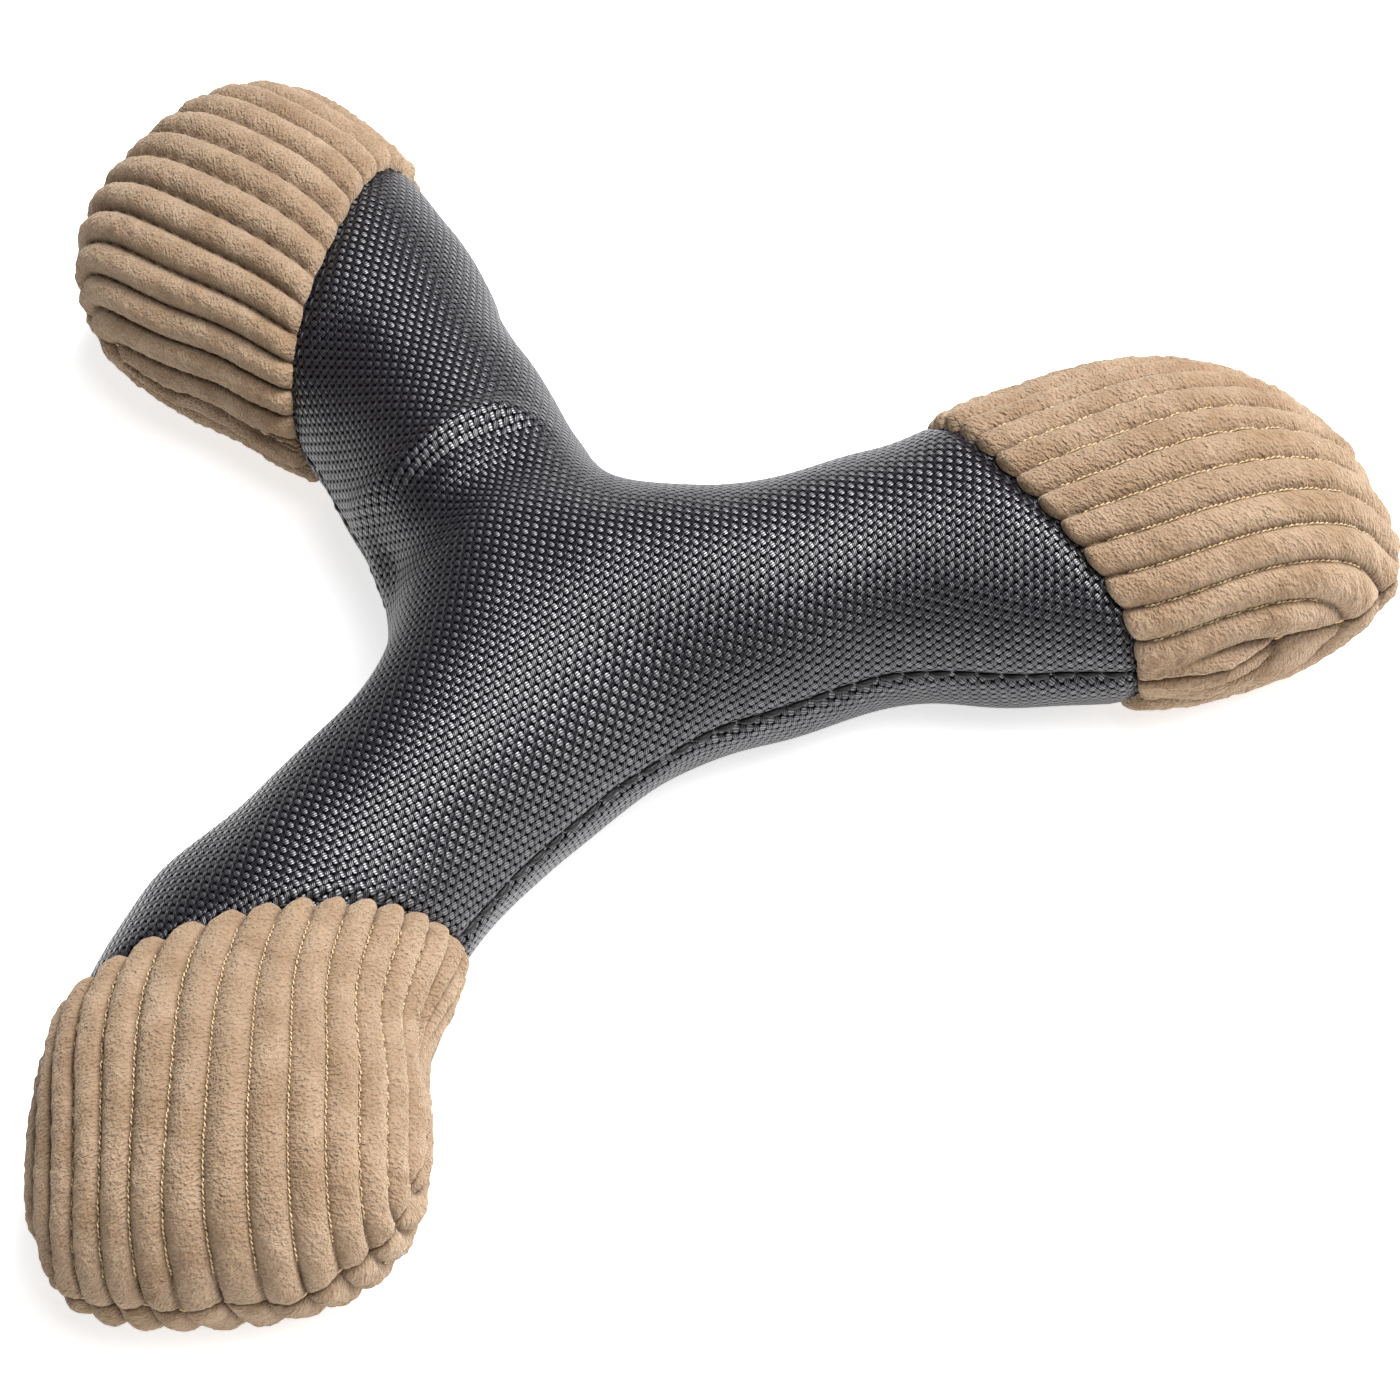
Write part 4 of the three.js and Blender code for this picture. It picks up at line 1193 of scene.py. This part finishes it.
# %% Stuffing of the hub
HUB_INSET = 6.0
POCKET_CLEAR = 1.5
POCKET_RADIUS, OUTER_RADIUS = 22, 27
VOXEL = 2.5 * MM
for half in ("upper", "lower"):
    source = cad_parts[f"hub_fill_{half}"]
    piece = new_object(f"hub_stuffing_{half}", source.data.copy())
    remesh = piece.modifiers.new("even", "REMESH")
    remesh.mode = "VOXEL"
    remesh.voxel_size = VOXEL
    remesh.use_smooth_shade = True
    bpy.context.view_layer.update()
    mesh = bpy.data.meshes.new_from_object(piece.evaluated_get(bpy.context.evaluated_depsgraph_get()))
    piece.modifiers.clear()
    piece.data = mesh
    spots = points_of(mesh)
    outward = np.array([v.normal for v in mesh.vertices])
    outer = smoothstep(np.linalg.norm(spots, axis=1), POCKET_RADIUS, OUTER_RADIUS)
    drawn_in = HUB_INSET + STUFFING_LUMP * lumps(spots, LUMP_SIZE, 13)
    spots = spots - outward * (POCKET_CLEAR * (1 - outer) + outer * drawn_in)[:, None]
    if half == "upper":
        spots[:, 2] += outer * np.minimum(0, crease(spots) - 1.0)
    mesh.vertices.foreach_set("co", (spots * MM).ravel())
    mesh.materials.clear()
    mesh.materials.append(fibre)
    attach(piece, "hub")
    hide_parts(f"hub_fill_{half}")
    print(piece.name, "has", len(mesh.vertices), "points")

# %% [markdown]
# The squeaker is blow-moulded low-density polythene, milky and a little waxy, so light soaks in a short way.
# Its reed is cut from clear polyester film, smooth from the casting roll. Their solids have the right shape
# already, so they stay and only get their finish.

# %% The squeaker
MILK_CLOUD = 6.0 * MM
FILM_HAZE = 1.0 * MM
polythene, tree, skin = new_material("low_density_polythene")
where = add(tree, "ShaderNodeTexCoord").outputs["Object"]
cloud = add(tree, "ShaderNodeTexNoise", {"Vector": where}, in_Scale=1 / MILK_CLOUD, in_Detail=2.0)
milk = add(tree, "ShaderNodeValToRGB", {"Fac": cloud.outputs["Fac"]}, ((0, "#d9d5c8"), (1, "#ebe8de")))
tree.links.new(milk.outputs["Color"], skin.inputs["Base Color"])
skin.inputs["Roughness"].default_value = 0.42
skin.inputs["IOR"].default_value = 1.51
skin.inputs["Subsurface Weight"].default_value = 0.25
skin.inputs["Subsurface Scale"].default_value = 1.5 * MM
film, tree, skin = new_material("clear_polyester_film")
where = add(tree, "ShaderNodeTexCoord").outputs["Object"]
haze = add(tree, "ShaderNodeTexNoise", {"Vector": where}, in_Scale=1 / FILM_HAZE, in_Detail=1.0)
grey = add(tree, "ShaderNodeValToRGB", {"Fac": haze.outputs["Fac"]}, ((0, "#b4b8be"), (1, "#c8ccd2")))
tree.links.new(grey.outputs["Color"], skin.inputs["Base Color"])
skin.inputs["Roughness"].default_value = 0.15
skin.inputs["IOR"].default_value = 1.6
finishes = dict(squeaker_dome=polythene, squeaker_cup=polythene, squeaker_plug=polythene, squeaker_reed=film)
for name, material in finishes.items():
    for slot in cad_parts[name].material_slots:
        slot.material = material
print("squeaker pieces:", len(finishes))

# %% [markdown]
# A plain white paper floor and a white room fill the shadows as in a product picture. The floor glows a
# little itself, so that it stays white under the toy and lights the toy from below.

# %% Floor and room
FLOOR_REACH = 3000
corners = [(-FLOOR_REACH, -FLOOR_REACH), (FLOOR_REACH, -FLOOR_REACH)]
corners += [(FLOOR_REACH, FLOOR_REACH), (-FLOOR_REACH, FLOOR_REACH)]
floor = new_object("floor", new_mesh("floor", [(x, y, FLOOR_Z) for x, y in corners], [[0, 1, 2, 3]]))
paper, tree, skin = new_material("white_studio_paper")
skin.inputs["Base Color"].default_value = colour("#f4f4f3")
skin.inputs["Roughness"].default_value = 0.9
skin.inputs["Emission Color"].default_value = colour("#ffffff")
skin.inputs["Emission Strength"].default_value = 0.7
floor.data.materials.append(paper)
scene = bpy.context.scene
scene.view_settings.view_transform = "Standard"
world = bpy.data.worlds.new("studio")
scene.world = world
world.use_nodes = True
sky = world.node_tree.nodes["Background"]
sky.inputs["Color"].default_value = colour("#ffffff")
sky.inputs["Strength"].default_value = 0.14
print("floor at", FLOOR_Z, "mm")

# %% [markdown]
# Two soft boxes stand high on the right, the stronger one a little behind the toy and the weaker one a little
# in front. They are big enough to soften the shadows and small enough to make the nylon glitter. The camera
# is a long lens, turned a little, as the picture was taken.

# %% Lights and camera
KEY_AT, KEY_SIZE, KEY_POWER = (0.60, 0.28, 1.06), 0.6, 34
SIDE_AT, SIDE_SIZE, SIDE_POWER = (0.48, -0.40, 1.08), 0.5, 12
CAMERA_AT = (0.12224, -0.42101, 0.55843)
CAMERA_AIM = (0.02685, -0.01796, 0.0)
CAMERA_ROLL = math.radians(-14.18)


def aimed(place, target, roll=0.0):
    forward = np.subtract(target, place)
    forward = forward / np.linalg.norm(forward)
    level = np.cross(forward, [0, 0, 1])
    level /= np.linalg.norm(level)
    up = np.cross(level, forward)
    right = level * math.cos(roll) + up * math.sin(roll)
    above = up * math.cos(roll) - level * math.sin(roll)
    return Matrix([[right[k], above[k], -forward[k], place[k]] for k in range(3)] + [[0, 0, 0, 1]])


def soft_box(name, place, size, power):
    light = bpy.data.lights.new(name, "AREA")
    light.size = size
    light.energy = power
    light.color = colour("#fdfcff")[:3]
    lamp = bpy.data.objects.new(name, light)
    scene.collection.objects.link(lamp)
    lamp.matrix_world = aimed(place, (0, 0, 0))


soft_box("key", KEY_AT, KEY_SIZE, KEY_POWER)
soft_box("side", SIDE_AT, SIDE_SIZE, SIDE_POWER)
camera_data = bpy.data.cameras.new("camera")
camera_data.sensor_width = 36
camera_data.lens = 100.2
camera_data.clip_start = 0.05
camera = bpy.data.objects.new("camera", camera_data)
scene.collection.objects.link(camera)
camera.matrix_world = aimed(CAMERA_AT, CAMERA_AIM, CAMERA_ROLL)
scene.camera = camera
print("camera stands %.2f m away" % math.dist(CAMERA_AT, CAMERA_AIM))
